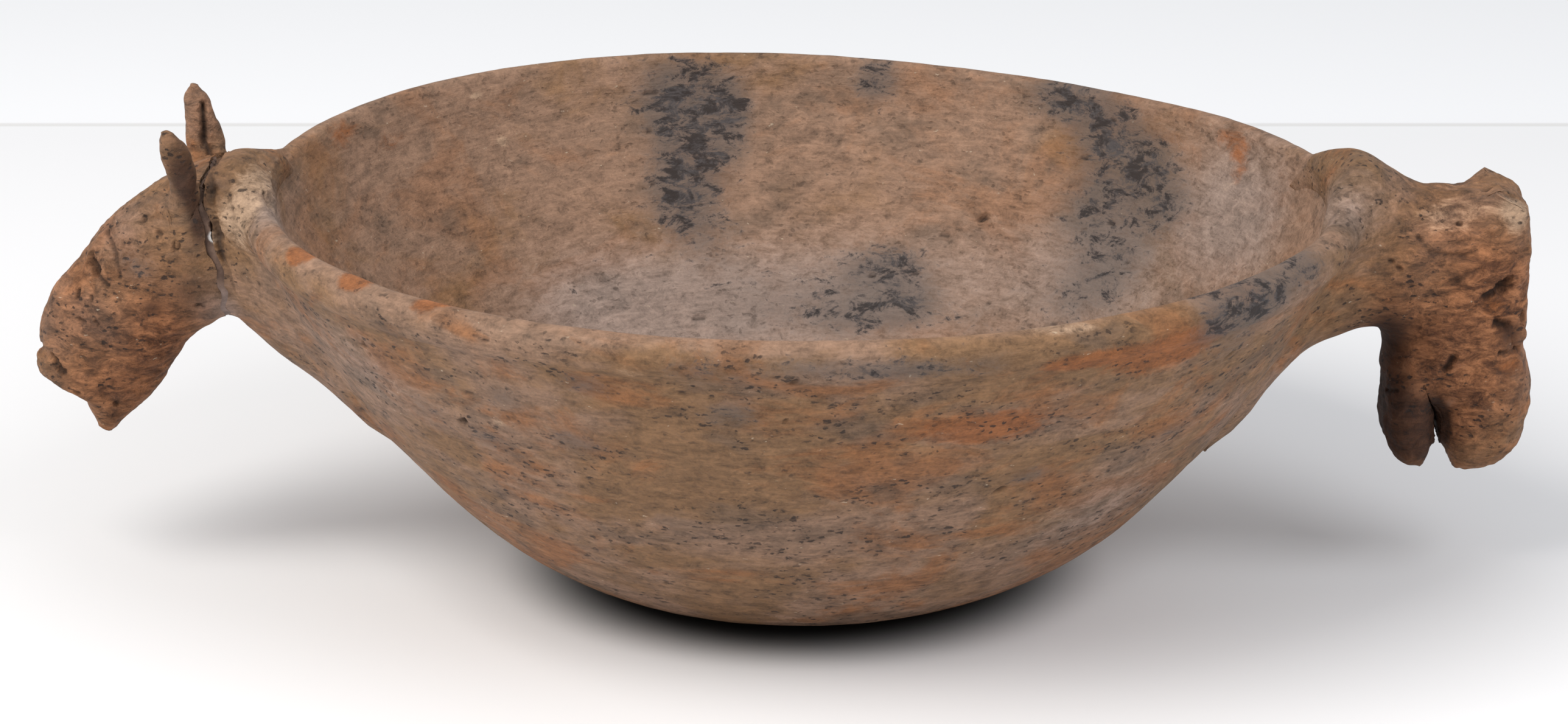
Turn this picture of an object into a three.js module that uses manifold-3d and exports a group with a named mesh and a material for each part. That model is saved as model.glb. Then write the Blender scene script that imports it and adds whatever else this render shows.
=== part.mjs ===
// Animal effigy bowl: a coil-built earthenware bowl with an animal head luted to each end.
// Millimetres, +Z up. The origin is the centre of the flat face that the bowl rests on.
// -X points to the head with whole ears, +X to the head that hangs straight down.

import * as THREE from 'three';
import { mergeVertices } from 'three/addons/utils/BufferGeometryUtils.js';
import loadManifold from 'manifold-3d';

const solids = await loadManifold();
solids.setup();

// Sizes of the bowl
const rimRadius = 160;
const rimHeight = 112.6;
const footRadius = 45;
const wallThickness = 8;
const baseThickness = 10;
const lipThickness = 9.5;
const rimCoilRise = 11.6;
const baseSweep = 0.5;
const coilCount = 3;
const scarfLap = 5;

// The hand-made rim isn't level: it tips down to the right, winds round, and dips by the necks
const rimTip = -1.7;
const rimWind = -1.6;
const rimDip = 0.8;

// Luted pieces stand this far off each other, as a hair-thin seam
const seam = 0.3;

// Sizes of the heads, the necks and what is set into them
const neckHalfWidth = 22.5;
const neckRootHalfWidth = 48;
const headHalfWidth = 23.5;
const muzzleHalfWidth = 13;
const mendThickness = 1.6;
const mendRecess = 0.94;
const earSpread = 22;
const pelletRadius = 4;
const clayRoundness = 2.3;

// How finely round forms are cut into facets
const aroundBowl = 60;
const aroundNeck = 28;
const aroundEar = 14;

// The lip's height above the foot changes with the angle round the bowl
function sway(angle, height) {
  const tip = rimTip * Math.cos(angle) + rimWind * Math.sin(2 * angle);
  const atLip = tip + rimDip * Math.cos(3 * angle);
  return atLip * (height / rimHeight) ** 2;
}

// The wall's outside is a parabola from the foot's edge, sweep 0, to the lip, sweep 1
function outside(sweep) {
  const radius = footRadius + (rimRadius - footRadius) * sweep;
  return new THREE.Vector2(radius, rimHeight * sweep ** 2);
}

function upWall(sweep) {
  return new THREE.Vector2(rimRadius - footRadius, 2 * rimHeight * sweep);
}

function intoBowl(sweep) {
  const along = upWall(sweep);
  return new THREE.Vector2(-along.y, along.x).normalize();
}

function thicknessAt(sweep) {
  return baseThickness + (wallThickness - baseThickness) * sweep;
}

function wallPoint(sweep, depth) {
  return outside(sweep).addScaledVector(intoBowl(sweep), depth);
}

function wallRadiusAt(height) {
  return outside(Math.sqrt(height / rimHeight)).x;
}

const rimSweep = Math.sqrt(1 - rimCoilRise / rimHeight);

// The inner edge of a scarfed seam lies lower on the wall than its outer edge
function scarfed(sweep) {
  return sweep - scarfLap / upWall(sweep).length();
}

function pastSeam(sweep) {
  return sweep + seam / upWall(sweep).length();
}

function steps(from, to, count) {
  return Array.from({ length: count + 1 }, (_, i) => from + ((to - from) * i) / count);
}

// A strip of wall between two sweeps, as the closed outline that is turned into a ring
function stripOutline(low, high, count) {
  const outer = steps(low, high, count).map((sweep) => wallPoint(sweep, 0));
  const inner = steps(scarfed(high), scarfed(low), count)
    .map((sweep) => wallPoint(sweep, thicknessAt(sweep)));
  return [...outer, ...inner, outer[0]];
}

// The base: flat under the foot, then the first part of the wall's curve
function baseOutline(high) {
  const outer = steps(0, high, 6).map((sweep) => wallPoint(sweep, 0));
  const inner = steps(scarfed(high), 0, 5)
    .map((sweep) => wallPoint(sweep, thicknessAt(sweep)));
  const middleBelow = new THREE.Vector2(0, 0);
  const middleAbove = new THREE.Vector2(0, baseThickness);
  return [middleBelow, ...outer, ...inner, middleAbove];
}

// The rim coil's section, as shares of the lip's thickness and of the coil's height up the wall
const rimSection = [
  [0.0, 0.0],
  [-0.11, 0.2],
  [-0.15, 0.45],
  [-0.1, 0.68],
  [0.06, 0.88],
  [0.3, 0.985],
  [0.58, 1.0],
  [0.82, 0.92],
  [0.96, 0.74],
  [0.95, 0.4],
];

// Places the rim coil's section on the wall's end; grow moves it outwards from its own middle
function rimOutline(start, grow) {
  const foot = wallPoint(start, 0);
  const across = intoBowl(start);
  const along = upWall(start).normalize();
  const rise = rimCoilRise - lipThickness * 0.5 * across.y;
  const middle = new THREE.Vector2(0.45 * lipThickness, (0.5 * rise) / along.y);
  return rimSection.map(([depth, height]) => {
    const local = new THREE.Vector2(depth * lipThickness, (height * rise) / along.y);
    const push = local.clone().sub(middle).normalize().multiplyScalar(grow);
    local.add(push);
    return foot.clone().addScaledVector(across, local.x).addScaledVector(along, local.y);
  });
}

function rimCoilOutline() {
  const start = pastSeam(rimSweep);
  const section = rimOutline(start, 0);
  const innerSweep = scarfed(start);
  return [...section, wallPoint(innerSweep, thicknessAt(innerSweep)), section[0]];
}

// The bowl's whole outside with its mouth closed, grown by the seam: necks are cut back to it
function bowlEnvelope(grow) {
  const outer = steps(0, rimSweep, 12).map((sweep) => wallPoint(sweep, -grow));
  const section = rimOutline(pastSeam(rimSweep), grow).slice(1, 9);
  const top = section[section.length - 1];
  return [new THREE.Vector2(0, -grow), ...outer, ...section, new THREE.Vector2(0, top.y)];
}

function lipInnerRadius() {
  return Math.min(...rimOutline(pastSeam(rimSweep), 0).slice(5).map((point) => point.x));
}

// Turns an outline round the bowl's axis and gives it the rim's sway
function turned(outline) {
  const geometry = new THREE.LatheGeometry(outline, aroundBowl);
  geometry.rotateX(Math.PI / 2);
  const places = geometry.attributes.position;
  for (let i = 0; i < places.count; i += 1) {
    const angle = Math.atan2(places.getY(i), places.getX(i));
    const height = Math.max(places.getZ(i), 0);
    places.setZ(i, places.getZ(i) + sway(angle, height));
  }
  return facingOut(geometry);
}

// Joins shared corners and turns the faces outwards
function facingOut(geometry) {
  geometry.deleteAttribute('normal');
  geometry.deleteAttribute('uv');
  const merged = mergeVertices(geometry, 1e-4);
  const corners = merged.attributes.position;
  const index = Array.from(merged.index.array);
  const [a, b, c] = [new THREE.Vector3(), new THREE.Vector3(), new THREE.Vector3()];
  const kept = [];
  let volume = 0;
  for (let i = 0; i < index.length; i += 3) {
    const [p, q, r] = index.slice(i, i + 3);
    if (p === q || q === r || r === p) continue;
    a.fromBufferAttribute(corners, p);
    b.fromBufferAttribute(corners, q);
    c.fromBufferAttribute(corners, r);
    volume += a.dot(b.clone().cross(c));
    kept.push(p, q, r);
  }
  if (volume < 0) {
    kept.reverse();
  }
  merged.setIndex(kept);
  return merged;
}

function solid(geometry) {
  const vertProperties = new Float32Array(geometry.attributes.position.array);
  const triVerts = new Uint32Array(geometry.index.array);
  return new solids.Manifold(new solids.Mesh({ numProp: 3, vertProperties, triVerts }));
}

// Slivers thinner than a hundredth of a millimetre are dropped from a cut piece
function surface(manifold) {
  const mesh = manifold.simplify(0.01).getMesh();
  const geometry = new THREE.BufferGeometry();
  geometry.setAttribute('position', new THREE.BufferAttribute(mesh.vertProperties, 3));
  geometry.setIndex(new THREE.BufferAttribute(mesh.triVerts, 1));
  return geometry;
}

// Clay modelled between two edge lines. Each station has the front or top edge [out, up], the back
// or bottom edge [out, up], the half width across the object and the middle's place across.
function modelled(stations, around, grow = 0) {
  const line = (pick) => new THREE.CatmullRomCurve3(stations.map(pick), false, 'catmullrom', 0.5);
  const front = line((s) => new THREE.Vector3(s.front[0], 0, s.front[1]));
  const back = line((s) => new THREE.Vector3(s.back[0], 0, s.back[1]));
  const girth = line((s) => new THREE.Vector3(s.half, s.middle ?? 0, 0));
  const count = 2 * (stations.length - 1);
  const places = [];
  const power = 2 / clayRoundness;
  const bend = (value) => Math.sign(value) * Math.abs(value) ** power;
  const rings = steps(0, 1, count).map((t) => {
    const a = front.getPoint(t);
    const b = back.getPoint(t);
    const middle = a.clone().add(b).multiplyScalar(0.5);
    const half = a.clone().sub(b).multiplyScalar(0.5);
    half.setLength(half.length() + grow);
    const across = girth.getPoint(t);
    return steps(0, 2 * Math.PI, around).slice(0, -1).map((angle) => middle.clone()
      .addScaledVector(half, bend(Math.cos(angle)))
      .add(new THREE.Vector3(0, across.y + (across.x + grow) * bend(Math.sin(angle)), 0)));
  });
  rings.flat().forEach((point) => places.push(point.x, point.y, point.z));
  const ends = [rings[0], rings[rings.length - 1]];
  ends.forEach((ring) => {
    const middle = ring.reduce((sum, p) => sum.add(p), new THREE.Vector3());
    middle.multiplyScalar(1 / ring.length);
    places.push(middle.x, middle.y, middle.z);
  });
  const index = [];
  const firstEnd = rings.length * around;
  const lastRing = (rings.length - 1) * around;
  for (let j = 0; j < around; j += 1) {
    const next = (j + 1) % around;
    for (let i = 0; i < rings.length - 1; i += 1) {
      const low = i * around;
      const high = low + around;
      index.push(low + j, low + next, high + next, low + j, high + next, high + j);
    }
    index.push(firstEnd, next, j);
    index.push(firstEnd + 1, lastRing + j, lastRing + next);
  }
  const geometry = new THREE.BufferGeometry();
  geometry.setAttribute('position', new THREE.Float32BufferAttribute(places, 3));
  geometry.setIndex(index);
  return facingOut(geometry);
}

// The two ends of the bowl: which way they point and how high the lip stands there
const leftEnd = { side: -1, lip: rimHeight + sway(Math.PI, rimHeight) };
const rightEnd = { side: 1, lip: rimHeight + sway(0, rimHeight) };

// A neck station: top edge by its distance past the lip, bottom edge by how proud of the wall it is
function neckStation(end, [topOut, topUp, proud, bottomUp, half]) {
  const bottom = end.lip + bottomUp;
  return {
    front: [end.side * (rimRadius + topOut), end.lip + topUp],
    back: [end.side * (wallRadiusAt(bottom) + proud), bottom],
    half,
  };
}

// The frame in which a head is modelled: the middle of the face where it meets its neck
function neckFace(end, station) {
  const last = neckStation(end, station);
  return {
    side: end.side,
    x: (last.front[0] + last.back[0]) / 2,
    z: (last.front[1] + last.back[1]) / 2,
    station: last,
  };
}

function headStations(face, rows) {
  return rows.map(([frontOut, frontUp, backOut, backUp, half, middle = 0]) => ({
    front: [face.x + face.side * frontOut, face.z + frontUp],
    back: [face.x + face.side * backOut, face.z + backUp],
    half,
    middle,
  }));
}

// A station moved outwards along the neck by a distance
function movedOut(face, station, distance) {
  const shift = face.side * distance;
  return {
    ...station,
    front: [station.front[0] + shift, station.front[1]],
    back: [station.back[0] + shift, station.back[1]],
  };
}

// A station drawn in towards its own middle
function drawnIn(station, share) {
  const middle = [0, 1].map((i) => (station.front[i] + station.back[i]) / 2);
  const towards = (edge) => edge.map((value, i) => middle[i] + (value - middle[i]) * share);
  return { ...station, front: towards(station.front), back: towards(station.back),
    half: station.half * share };
}

// A round pit or pellet: a sphere flattened to three half sizes, leaning in the side view
function lump(place, halves, lean, count = 12) {
  const geometry = new THREE.SphereGeometry(1, count, count / 2);
  geometry.scale(...halves);
  geometry.rotateY(lean);
  geometry.translate(...place);
  return solid(facingOut(geometry));
}

function atFace(face, out, across, up) {
  return [face.x + face.side * out, across, face.z + up];
}

const envelope = solid(turned(bowlEnvelope(seam)));

// The open mouth over the bowl: the neck's clay laps over the lip but stops at its inner edge
const mouthRadius = lipInnerRadius() + 1;
const mouth = solid(turned([
  new THREE.Vector2(0, rimHeight - lipThickness),
  new THREE.Vector2(mouthRadius, rimHeight - lipThickness),
  new THREE.Vector2(mouthRadius, rimHeight * 1.5),
  new THREE.Vector2(0, rimHeight * 1.5),
]));

function neck(end, rows) {
  const stations = rows.map((row) => neckStation(end, row));
  return solid(modelled(stations, aroundNeck)).subtract(envelope).subtract(mouth);
}

// Left neck, from inside the wall out to the face where the head broke off and was set back
const leftNeckRows = [
  [-30, -4.5, -6, -77.5, neckRootHalfWidth + 2],
  [-20, 2, 2, -65.5, neckRootHalfWidth - 4],
  [-13, 6.5, 8.5, -57.5, 37],
  [-6, 8.9, 16.5, -50, 30.5],
  [2, 8.7, 20.8, -42.5, neckHalfWidth + 2.5],
  [8, 7.3, 25.9, -38.1, neckHalfWidth],
];
const leftFace = neckFace(leftEnd, leftNeckRows[leftNeckRows.length - 1]);

// The restorer's filler: a thin disc between the neck's broken face and the head's
const mendStart = seam;
const mendEnd = seam + mendThickness;
const headStart = mendEnd + seam;
const mendStations = [mendStart, mendEnd]
  .map((distance) => drawnIn(movedOut(leftFace, leftFace.station, distance), mendRecess));
const mendSpace = solid(modelled([-seam, headStart + seam]
  .map((distance) => movedOut(leftFace, leftFace.station, distance)), aroundNeck, seam));

// Left head: crown, forehead, muzzle and nose over the throat, the jaw's seat and the lip
const leftHeadRows = [
  [9.1, 20.2, 4.6, -26.1, headHalfWidth],
  [16.1, 16.5, 9.1, -31.8, headHalfWidth],
  [23.6, 11.5, 14.6, -39.6, 22],
  [30.6, 6.1, 20.6, -43.5, 20],
  [36.1, -0.9, 27.1, -45.5, 18],
  [41.1, -7.9, 33.1, -46.5, 16],
  [46.6, -13.5, 38.6, -46.7, muzzleHalfWidth + 1.5],
  [49.4, -20.1, 44.6, -44.5, muzzleHalfWidth],
  [51.3, -30.1, 49.6, -41.5, muzzleHalfWidth - 2.5],
  [53.3, -36.6, 52.5, -39.5, muzzleHalfWidth - 7.5],
];
const leftHeadStations = [
  movedOut(leftFace, leftFace.station, headStart),
  ...headStations(leftFace, leftHeadRows),
];

// Left lower jaw: a wedge under the muzzle that ends in a blunt chin
const leftJawRows = [
  [16.1, -36.1, 14.3, -40.3, 10],
  [22.1, -38.1, 20.1, -47.8, 12.5],
  [28.1, -40.1, 27.1, -55.1, 12],
  [33.1, -42.1, 33.1, -58.9, 10.5],
  [36.9, -44.1, 36.2, -58.9, 9],
  [39.3, -45.5, 38.9, -55.7, 7.5],
];

// Ears: upright leaves on the sides of the crown. Each row is one level, front edge and back edge.
const nearEarRows = [
  [9.6, 9.9, 1.6, 9.9, 3.0, -earSpread + 5.5],
  [11.1, 17.9, 1.1, 17.9, 4.2, -earSpread + 3],
  [12.1, 25.4, 1.9, 25.4, 4.0, -earSpread + 1.5],
  [12.7, 31.4, 4.6, 31.4, 3.5, -earSpread + 0.5],
  [12.0, 35.5, 7.5, 35.5, 2.5, -earSpread],
  [10.7, 37.2, 9.3, 37.2, 1.0, -earSpread],
];
const farEarRows = [
  [9.6, 9.9, -0.9, 9.9, 3.0, earSpread - 5.5],
  [11.1, 17.9, -1.9, 17.9, 4.6, earSpread - 3],
  [11.3, 23.9, -1.5, 23.9, 4.6, earSpread - 1.5],
  [11.1, 29.9, 1.1, 29.9, 4.0, earSpread - 0.7],
  [10.2, 36.0, 3.7, 36.0, 3.2, earSpread],
  [8.7, 39.1, 5.7, 39.1, 2.0, earSpread],
  [7.9, 40.0, 6.7, 40.0, 0.8, earSpread],
];

const leftSkull = solid(modelled(leftHeadStations, aroundNeck));
const leftSkullGrown = solid(modelled(leftHeadStations, aroundNeck, seam));

// Eye pits and nostrils, the same on both sides of the head
const eyePits = [-1, 1].map((across) => lump(
  atFace(leftFace, 34.6, across * 11.7, -4.7), [1.7, 3, 3.4], -0.6));
const nostrils = [-1, 1].map((across) => lump(
  atFace(leftFace, 45.5, across * 12.6, -33.9), [0.9, 2.4, 1.9], -0.5, 8));
const leftHead = [...eyePits, ...nostrils].reduce((head, pit) => head.subtract(pit), leftSkull);

const leftNeck = neck(leftEnd, leftNeckRows);
const leftNeckGrown = solid(modelled(
  leftNeckRows.map((row) => neckStation(leftEnd, row)), aroundNeck, seam));
const leftJaw = solid(modelled(headStations(leftFace, leftJawRows), aroundEar))
  .subtract(leftSkullGrown);

// An ear is cut back to the crown and the neck, and its inner face has a pressed hollow
function ear(rows, across) {
  const hollow = lump(
    atFace(leftFace, 6.5, across * (earSpread - 5.2), 26.5), [2.2, 2.0, 7.5], 0, 8);
  return solid(modelled(headStations(leftFace, rows), aroundEar))
    .subtract(leftSkullGrown)
    .subtract(leftNeckGrown)
    .subtract(mendSpace)
    .subtract(hollow);
}

// Right neck, from inside the wall out to the slanting face that the head was luted to
const rightNeckRows = [
  [-30, -7.2, -6, -75.7, neckRootHalfWidth],
  [-20, 4, 2.6, -63.2, neckRootHalfWidth - 5],
  [-13, 9.7, 3.4, -54.7, 38],
  [-7, 10.6, 8.4, -46.2, 32],
  [0, 9.4, 16.7, -42.4, neckHalfWidth + 3.5],
  [8, 5.1, 21.5, -40.2, neckHalfWidth + 0.5],
  [15, 1.3, 26.2, -39.9, neckHalfWidth - 0.5],
];
const rightFace = neckFace(rightEnd, rightNeckRows[rightNeckRows.length - 1]);

// Right head: turned straight down, so its stations fan round the throat and then go down
const rightHeadRows = [
  [15, 19.7, -4, -22.6, 21.5],
  [22, 20.5, -3.2, -24.8, 20.5],
  [29.5, 20.4, -2.6, -26.8, 20],
  [36.8, 15.6, -2.4, -29.3, 20],
  [38.3, 3.6, -2.4, -33.3, 19.5],
  [38.4, -10.4, -3, -37.8, 19],
  [38.4, -22, -3.4, -42.8, 18.5],
  [40.2, -32.3, -3.8, -47.8, 18],
  [40.2, -43.3, -3.6, -52.8, 17],
  [38.9, -52.5, -2.4, -56.6, 15.5],
  [36, -60, 0.6, -60.4, 12.5],
  [31, -64, 5.5, -64, 8],
];
const rightStations = [
  movedOut(rightFace, rightFace.station, seam),
  ...headStations(rightFace, rightHeadRows),
];
const rightForm = solid(modelled(rightStations, aroundNeck));
const rightFormGrown = solid(modelled(rightStations, aroundNeck, seam));

// The open mouth is a cleft between the lower jaw's lobe and the muzzle. A slab is its side view,
// carried right across the head.
function slab(corners) {
  const shape = new THREE.Shape(corners.map(([out, up]) => new THREE.Vector2(out, up)));
  const depth = 4 * headHalfWidth;
  const geometry = new THREE.ExtrudeGeometry(shape, { depth, bevelEnabled: false });
  geometry.translate(0, 0, -depth / 2);
  geometry.rotateX(Math.PI / 2);
  geometry.scale(rightFace.side, 1, 1);
  geometry.translate(rightFace.x, 0, rightFace.z);
  return solid(facingOut(geometry));
}
const creaseUp = -34.5;
const cleftUp = -39.2;
const lipsUp = -57;
const cleftOut = 6.8;
const jawLipOut = 8.3;
const muzzleLipOut = 14.8;
const muzzleEndOut = 22;
const behindHead = -20;
const belowHead = -80;
const jawSlab = slab([
  [behindHead, creaseUp], [cleftOut, creaseUp], [cleftOut, cleftUp],
  [jawLipOut, lipsUp], [jawLipOut, belowHead], [behindHead, belowHead],
]);
const mouthSlab = slab([
  [behindHead, creaseUp + seam], [cleftOut + seam, creaseUp + seam], [cleftOut + seam, cleftUp],
  [muzzleLipOut, lipsUp], [muzzleEndOut, belowHead], [behindHead, belowHead],
]);

// Broken ears: two low stumps on the crown, snapped off along a slope
const stumpRows = [
  [18.5, 8, 36.8, 4, 4.6],
  [21.2, 17, 36.4, 12, 4.6],
  [26.6, 23.4, 35.4, 17.3, 4],
];
function stump(across) {
  const rows = stumpRows.map((row) => [...row, across * 12]);
  return solid(modelled(headStations(rightFace, rows), aroundEar)).subtract(rightFormGrown);
}

// Pellets pressed into sockets beside the nose, and the eye pits above them
function pellet(across, grow) {
  const halves = [pelletRadius * 1.1, pelletRadius * 0.8, pelletRadius]
    .map((half) => half + grow);
  return lump(atFace(rightFace, 32.5, across * 12.7, -20.6), halves, 0.3);
}
const rightPits = [-1, 1].map((across) => lump(
  atFace(rightFace, 26.8, across * 17.9, -4.8), [2.8, 2.6, 1.6], -0.4, 8));
const rightHead = [mouthSlab, ...rightPits, pellet(-1, seam), pellet(1, seam)]
  .reduce((head, cut) => head.subtract(cut), rightForm);

// The finish of each clay: fired body, redder clay of the heads, and the pale filler
function clay(color) {
  return new THREE.MeshStandardMaterial({ color, roughness: 0.85, metalness: 0 });
}
const bodyClay = clay(0x8d6a57);
const headClay = clay(0x7d4f3a);
const fillerClay = clay(0xb0a79f);

const bowl = new THREE.Group();

function add(name, geometry, material) {
  const mesh = new THREE.Mesh(geometry, material);
  mesh.name = name;
  bowl.add(mesh);
}

const coilSweeps = steps(baseSweep, rimSweep, coilCount);
add('base', turned(baseOutline(baseSweep)), bodyClay);
for (let coil = 0; coil < coilCount; coil += 1) {
  const outline = stripOutline(pastSeam(coilSweeps[coil]), coilSweeps[coil + 1], 3);
  add(`wall_coil_${coil + 1}`, turned(outline), bodyClay);
}
add('rim_coil', turned(rimCoilOutline()), bodyClay);

add('left_neck', surface(leftNeck), bodyClay);
add('left_mend', modelled(mendStations, aroundNeck), fillerClay);
add('left_head', surface(leftHead), headClay);
add('left_jaw', surface(leftJaw), headClay);
add('left_near_ear', surface(ear(nearEarRows, -1)), headClay);
add('left_far_ear', surface(ear(farEarRows, 1)), headClay);

add('right_neck', surface(neck(rightEnd, rightNeckRows)), bodyClay);
add('right_head', surface(rightHead), headClay);
add('right_jaw', surface(rightForm.intersect(jawSlab)), headClay);
add('right_near_ear_stump', surface(stump(-1)), headClay);
add('right_far_ear_stump', surface(stump(1)), headClay);
add('right_near_pellet', surface(pellet(-1, 0)), headClay);
add('right_far_pellet', surface(pellet(1, 0)), headClay);

export default bowl;
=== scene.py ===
# Animal effigy bowl: the looks of a coil-built earthenware bowl with an animal head on each end.
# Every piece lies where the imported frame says. Shapes are worked out in millimetres.

import math

import bpy
import numpy as np
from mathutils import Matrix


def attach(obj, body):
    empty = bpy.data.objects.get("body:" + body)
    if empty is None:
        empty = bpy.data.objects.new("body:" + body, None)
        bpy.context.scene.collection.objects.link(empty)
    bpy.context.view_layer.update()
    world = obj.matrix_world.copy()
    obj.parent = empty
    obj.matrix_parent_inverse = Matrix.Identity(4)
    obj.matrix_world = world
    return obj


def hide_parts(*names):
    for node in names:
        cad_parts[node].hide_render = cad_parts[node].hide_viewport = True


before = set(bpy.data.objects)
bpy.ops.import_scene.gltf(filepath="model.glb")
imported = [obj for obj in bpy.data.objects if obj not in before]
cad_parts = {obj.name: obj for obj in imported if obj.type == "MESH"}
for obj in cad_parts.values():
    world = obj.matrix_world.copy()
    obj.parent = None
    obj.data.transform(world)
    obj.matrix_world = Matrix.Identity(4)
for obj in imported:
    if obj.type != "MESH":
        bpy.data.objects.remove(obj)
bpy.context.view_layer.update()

# The camera: a long lens that looks a little down on the bowl from the front, on the line
# through the middle of the bowl.
CAMERA_PITCH = 17.5
CAMERA_DISTANCE = 1.350
CAMERA_AIM = (-0.0052, 0.0, 0.060)
camera_data = bpy.data.cameras.new("front_camera")
camera_data.lens = 108.0
camera_data.sensor_width = 36.0
camera = bpy.data.objects.new("front_camera", camera_data)
bpy.context.scene.collection.objects.link(camera)
pitch = math.radians(CAMERA_PITCH)
camera.location = (CAMERA_AIM[0], CAMERA_AIM[1] - CAMERA_DISTANCE * math.cos(pitch),
                   CAMERA_AIM[2] + CAMERA_DISTANCE * math.sin(pitch))
camera.rotation_euler = (math.pi / 2 - pitch, 0, 0)
bpy.context.scene.camera = camera

# The bowl's wall: an open parabola of fired earthenware, built up from a base and three coils
# that are scarfed on each other, smoothed inside and out while damp, with a rounded lip on top.
RIM_RADIUS = 160.0
RIM_HEIGHT = 112.6
FOOT_RADIUS = 45.0
WALL = 8.0
FLOOR = 10.0
LIP = 9.5
RIM_COIL_RISE = 11.6
BASE_SWEEP = 0.5
COILS = 3
SCARF_LAP = 5.0
SEAM = 0.3
LIP_LEAD = (0.84, 0.875, 0.91)
LIP_LEAD_START = 0.838
LIP_TAIL = (0.0, 0.03, 0.06, 0.09)
LIP_TAIL_END = 0.092
RIM_TIP = -1.7
RIM_WIND = -1.6
RIM_DIP = 0.8
RIM_SECTION = [(0.0, 0.0), (-0.11, 0.2), (-0.15, 0.45), (-0.1, 0.68), (0.06, 0.88),
               (0.3, 0.985), (0.58, 1.0), (0.82, 0.92), (0.96, 0.74), (0.95, 0.4)]


def sway(angle, height):
    """How far the hand-made rim stands over or under its level: a tip, a wind and a dip that
    follow the angle round the bowl, times the square of the share of the rim's height."""
    at_lip = (RIM_TIP * np.cos(angle) + RIM_WIND * np.sin(2 * angle)
              + RIM_DIP * np.cos(3 * angle))
    return at_lip * (np.maximum(height, 0) / RIM_HEIGHT) ** 2


def wall(sweep, depth=0.0):
    """A point of the wall's section, radius and height: the radius grows evenly with the sweep
    and the height with its square, then the point goes into the clay by the depth."""
    sweep = np.asarray(sweep, float)
    run = np.full_like(sweep, RIM_RADIUS - FOOT_RADIUS)
    rise = 2 * RIM_HEIGHT * sweep
    length = np.hypot(run, rise)
    radius = FOOT_RADIUS + run * sweep - rise / length * depth
    height = RIM_HEIGHT * sweep ** 2 + run / length * depth
    return np.stack([radius, height], -1)


def clay_depth(sweep):
    """The wall's thickness, which goes evenly from the floor's to the rim's."""
    return FLOOR + (WALL - FLOOR) * np.asarray(sweep, float)


def scarfed(sweep):
    """The sweep of a scarf's inner edge: lower than its outer edge by the scarf's lap."""
    return sweep - SCARF_LAP / np.hypot(RIM_RADIUS - FOOT_RADIUS, 2 * RIM_HEIGHT * sweep)


def smooth_through(rows, where):
    """A Catmull-Rom curve through rows of numbers. Where goes from 0 at the first row to 1 at
    the last, and beyond each end the rows go on as their own mirror image."""
    rows = np.asarray(rows, float)
    full = np.vstack([2 * rows[0] - rows[1], rows, 2 * rows[-1] - rows[-2]])
    place = np.clip(np.asarray(where, float), 0, 1) * (len(rows) - 1)
    first = np.minimum(place.astype(int), len(rows) - 2)
    t = (place - first)[:, None]
    a, b, c, d = full[first], full[first + 1], full[first + 2], full[first + 3]
    return 0.5 * (2 * b + (c - a) * t + (2 * a - 5 * b + 4 * c - d) * t ** 2
                  + (3 * b - a - 3 * c + d) * t ** 3)


def evenly(line, spacing):
    """The same line of points with even steps of about the spacing along its length."""
    steps = np.linalg.norm(np.diff(line, axis=0), axis=1)
    length = np.concatenate([[0], np.cumsum(steps)])
    count = max(int(round(length[-1] / spacing)), 2)
    at = np.linspace(0, length[-1], count + 1)
    return np.stack([np.interp(at, length, line[:, i]) for i in range(line.shape[1])], -1)


def lip_outline():
    """The rim coil's section, radius and height, from its outer seam over the lip to its inner
    seam: its points are shares of the lip's thickness and of the coil's height, laid on the end
    of the wall. One smooth curve goes through them and through the wall on both sides, and is
    given back in three stretches: before the coil, the coil, and after it."""
    start = rim_sweep + SEAM / math.hypot(RIM_RADIUS - FOOT_RADIUS, 2 * RIM_HEIGHT * rim_sweep)
    run, rise = RIM_RADIUS - FOOT_RADIUS, 2 * RIM_HEIGHT * start
    along = np.array([run, rise]) / math.hypot(run, rise)
    across = np.array([-along[1], along[0]])
    reach = RIM_COIL_RISE - LIP * 0.5 * across[1]
    shares = np.array(RIM_SECTION)
    coil = (wall(start) + shares[:, :1] * LIP * across
            + shares[:, 1:] * reach / along[1] * along)
    below = np.array([*LIP_LEAD, rim_sweep])
    inner = scarfed(rim_sweep) - np.array(LIP_TAIL)
    line = np.vstack([wall(below), coil[1:], wall(inner, clay_depth(inner))])
    fine = smooth_through(line, np.linspace(0, 1, 600))
    first = np.argmin(np.linalg.norm(fine - wall(rim_sweep), axis=1))
    last = np.argmin(np.linalg.norm(fine - line[-4], axis=1))
    return fine[:first + 1], fine[first:last + 1], fine[last:]


rim_sweep = math.sqrt(1 - RIM_COIL_RISE / RIM_HEIGHT)
seam_sweeps = np.linspace(BASE_SWEEP, rim_sweep, COILS + 1)
inner_sweeps = scarfed(seam_sweeps)
before_lip, lip, after_lip = lip_outline()

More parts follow.
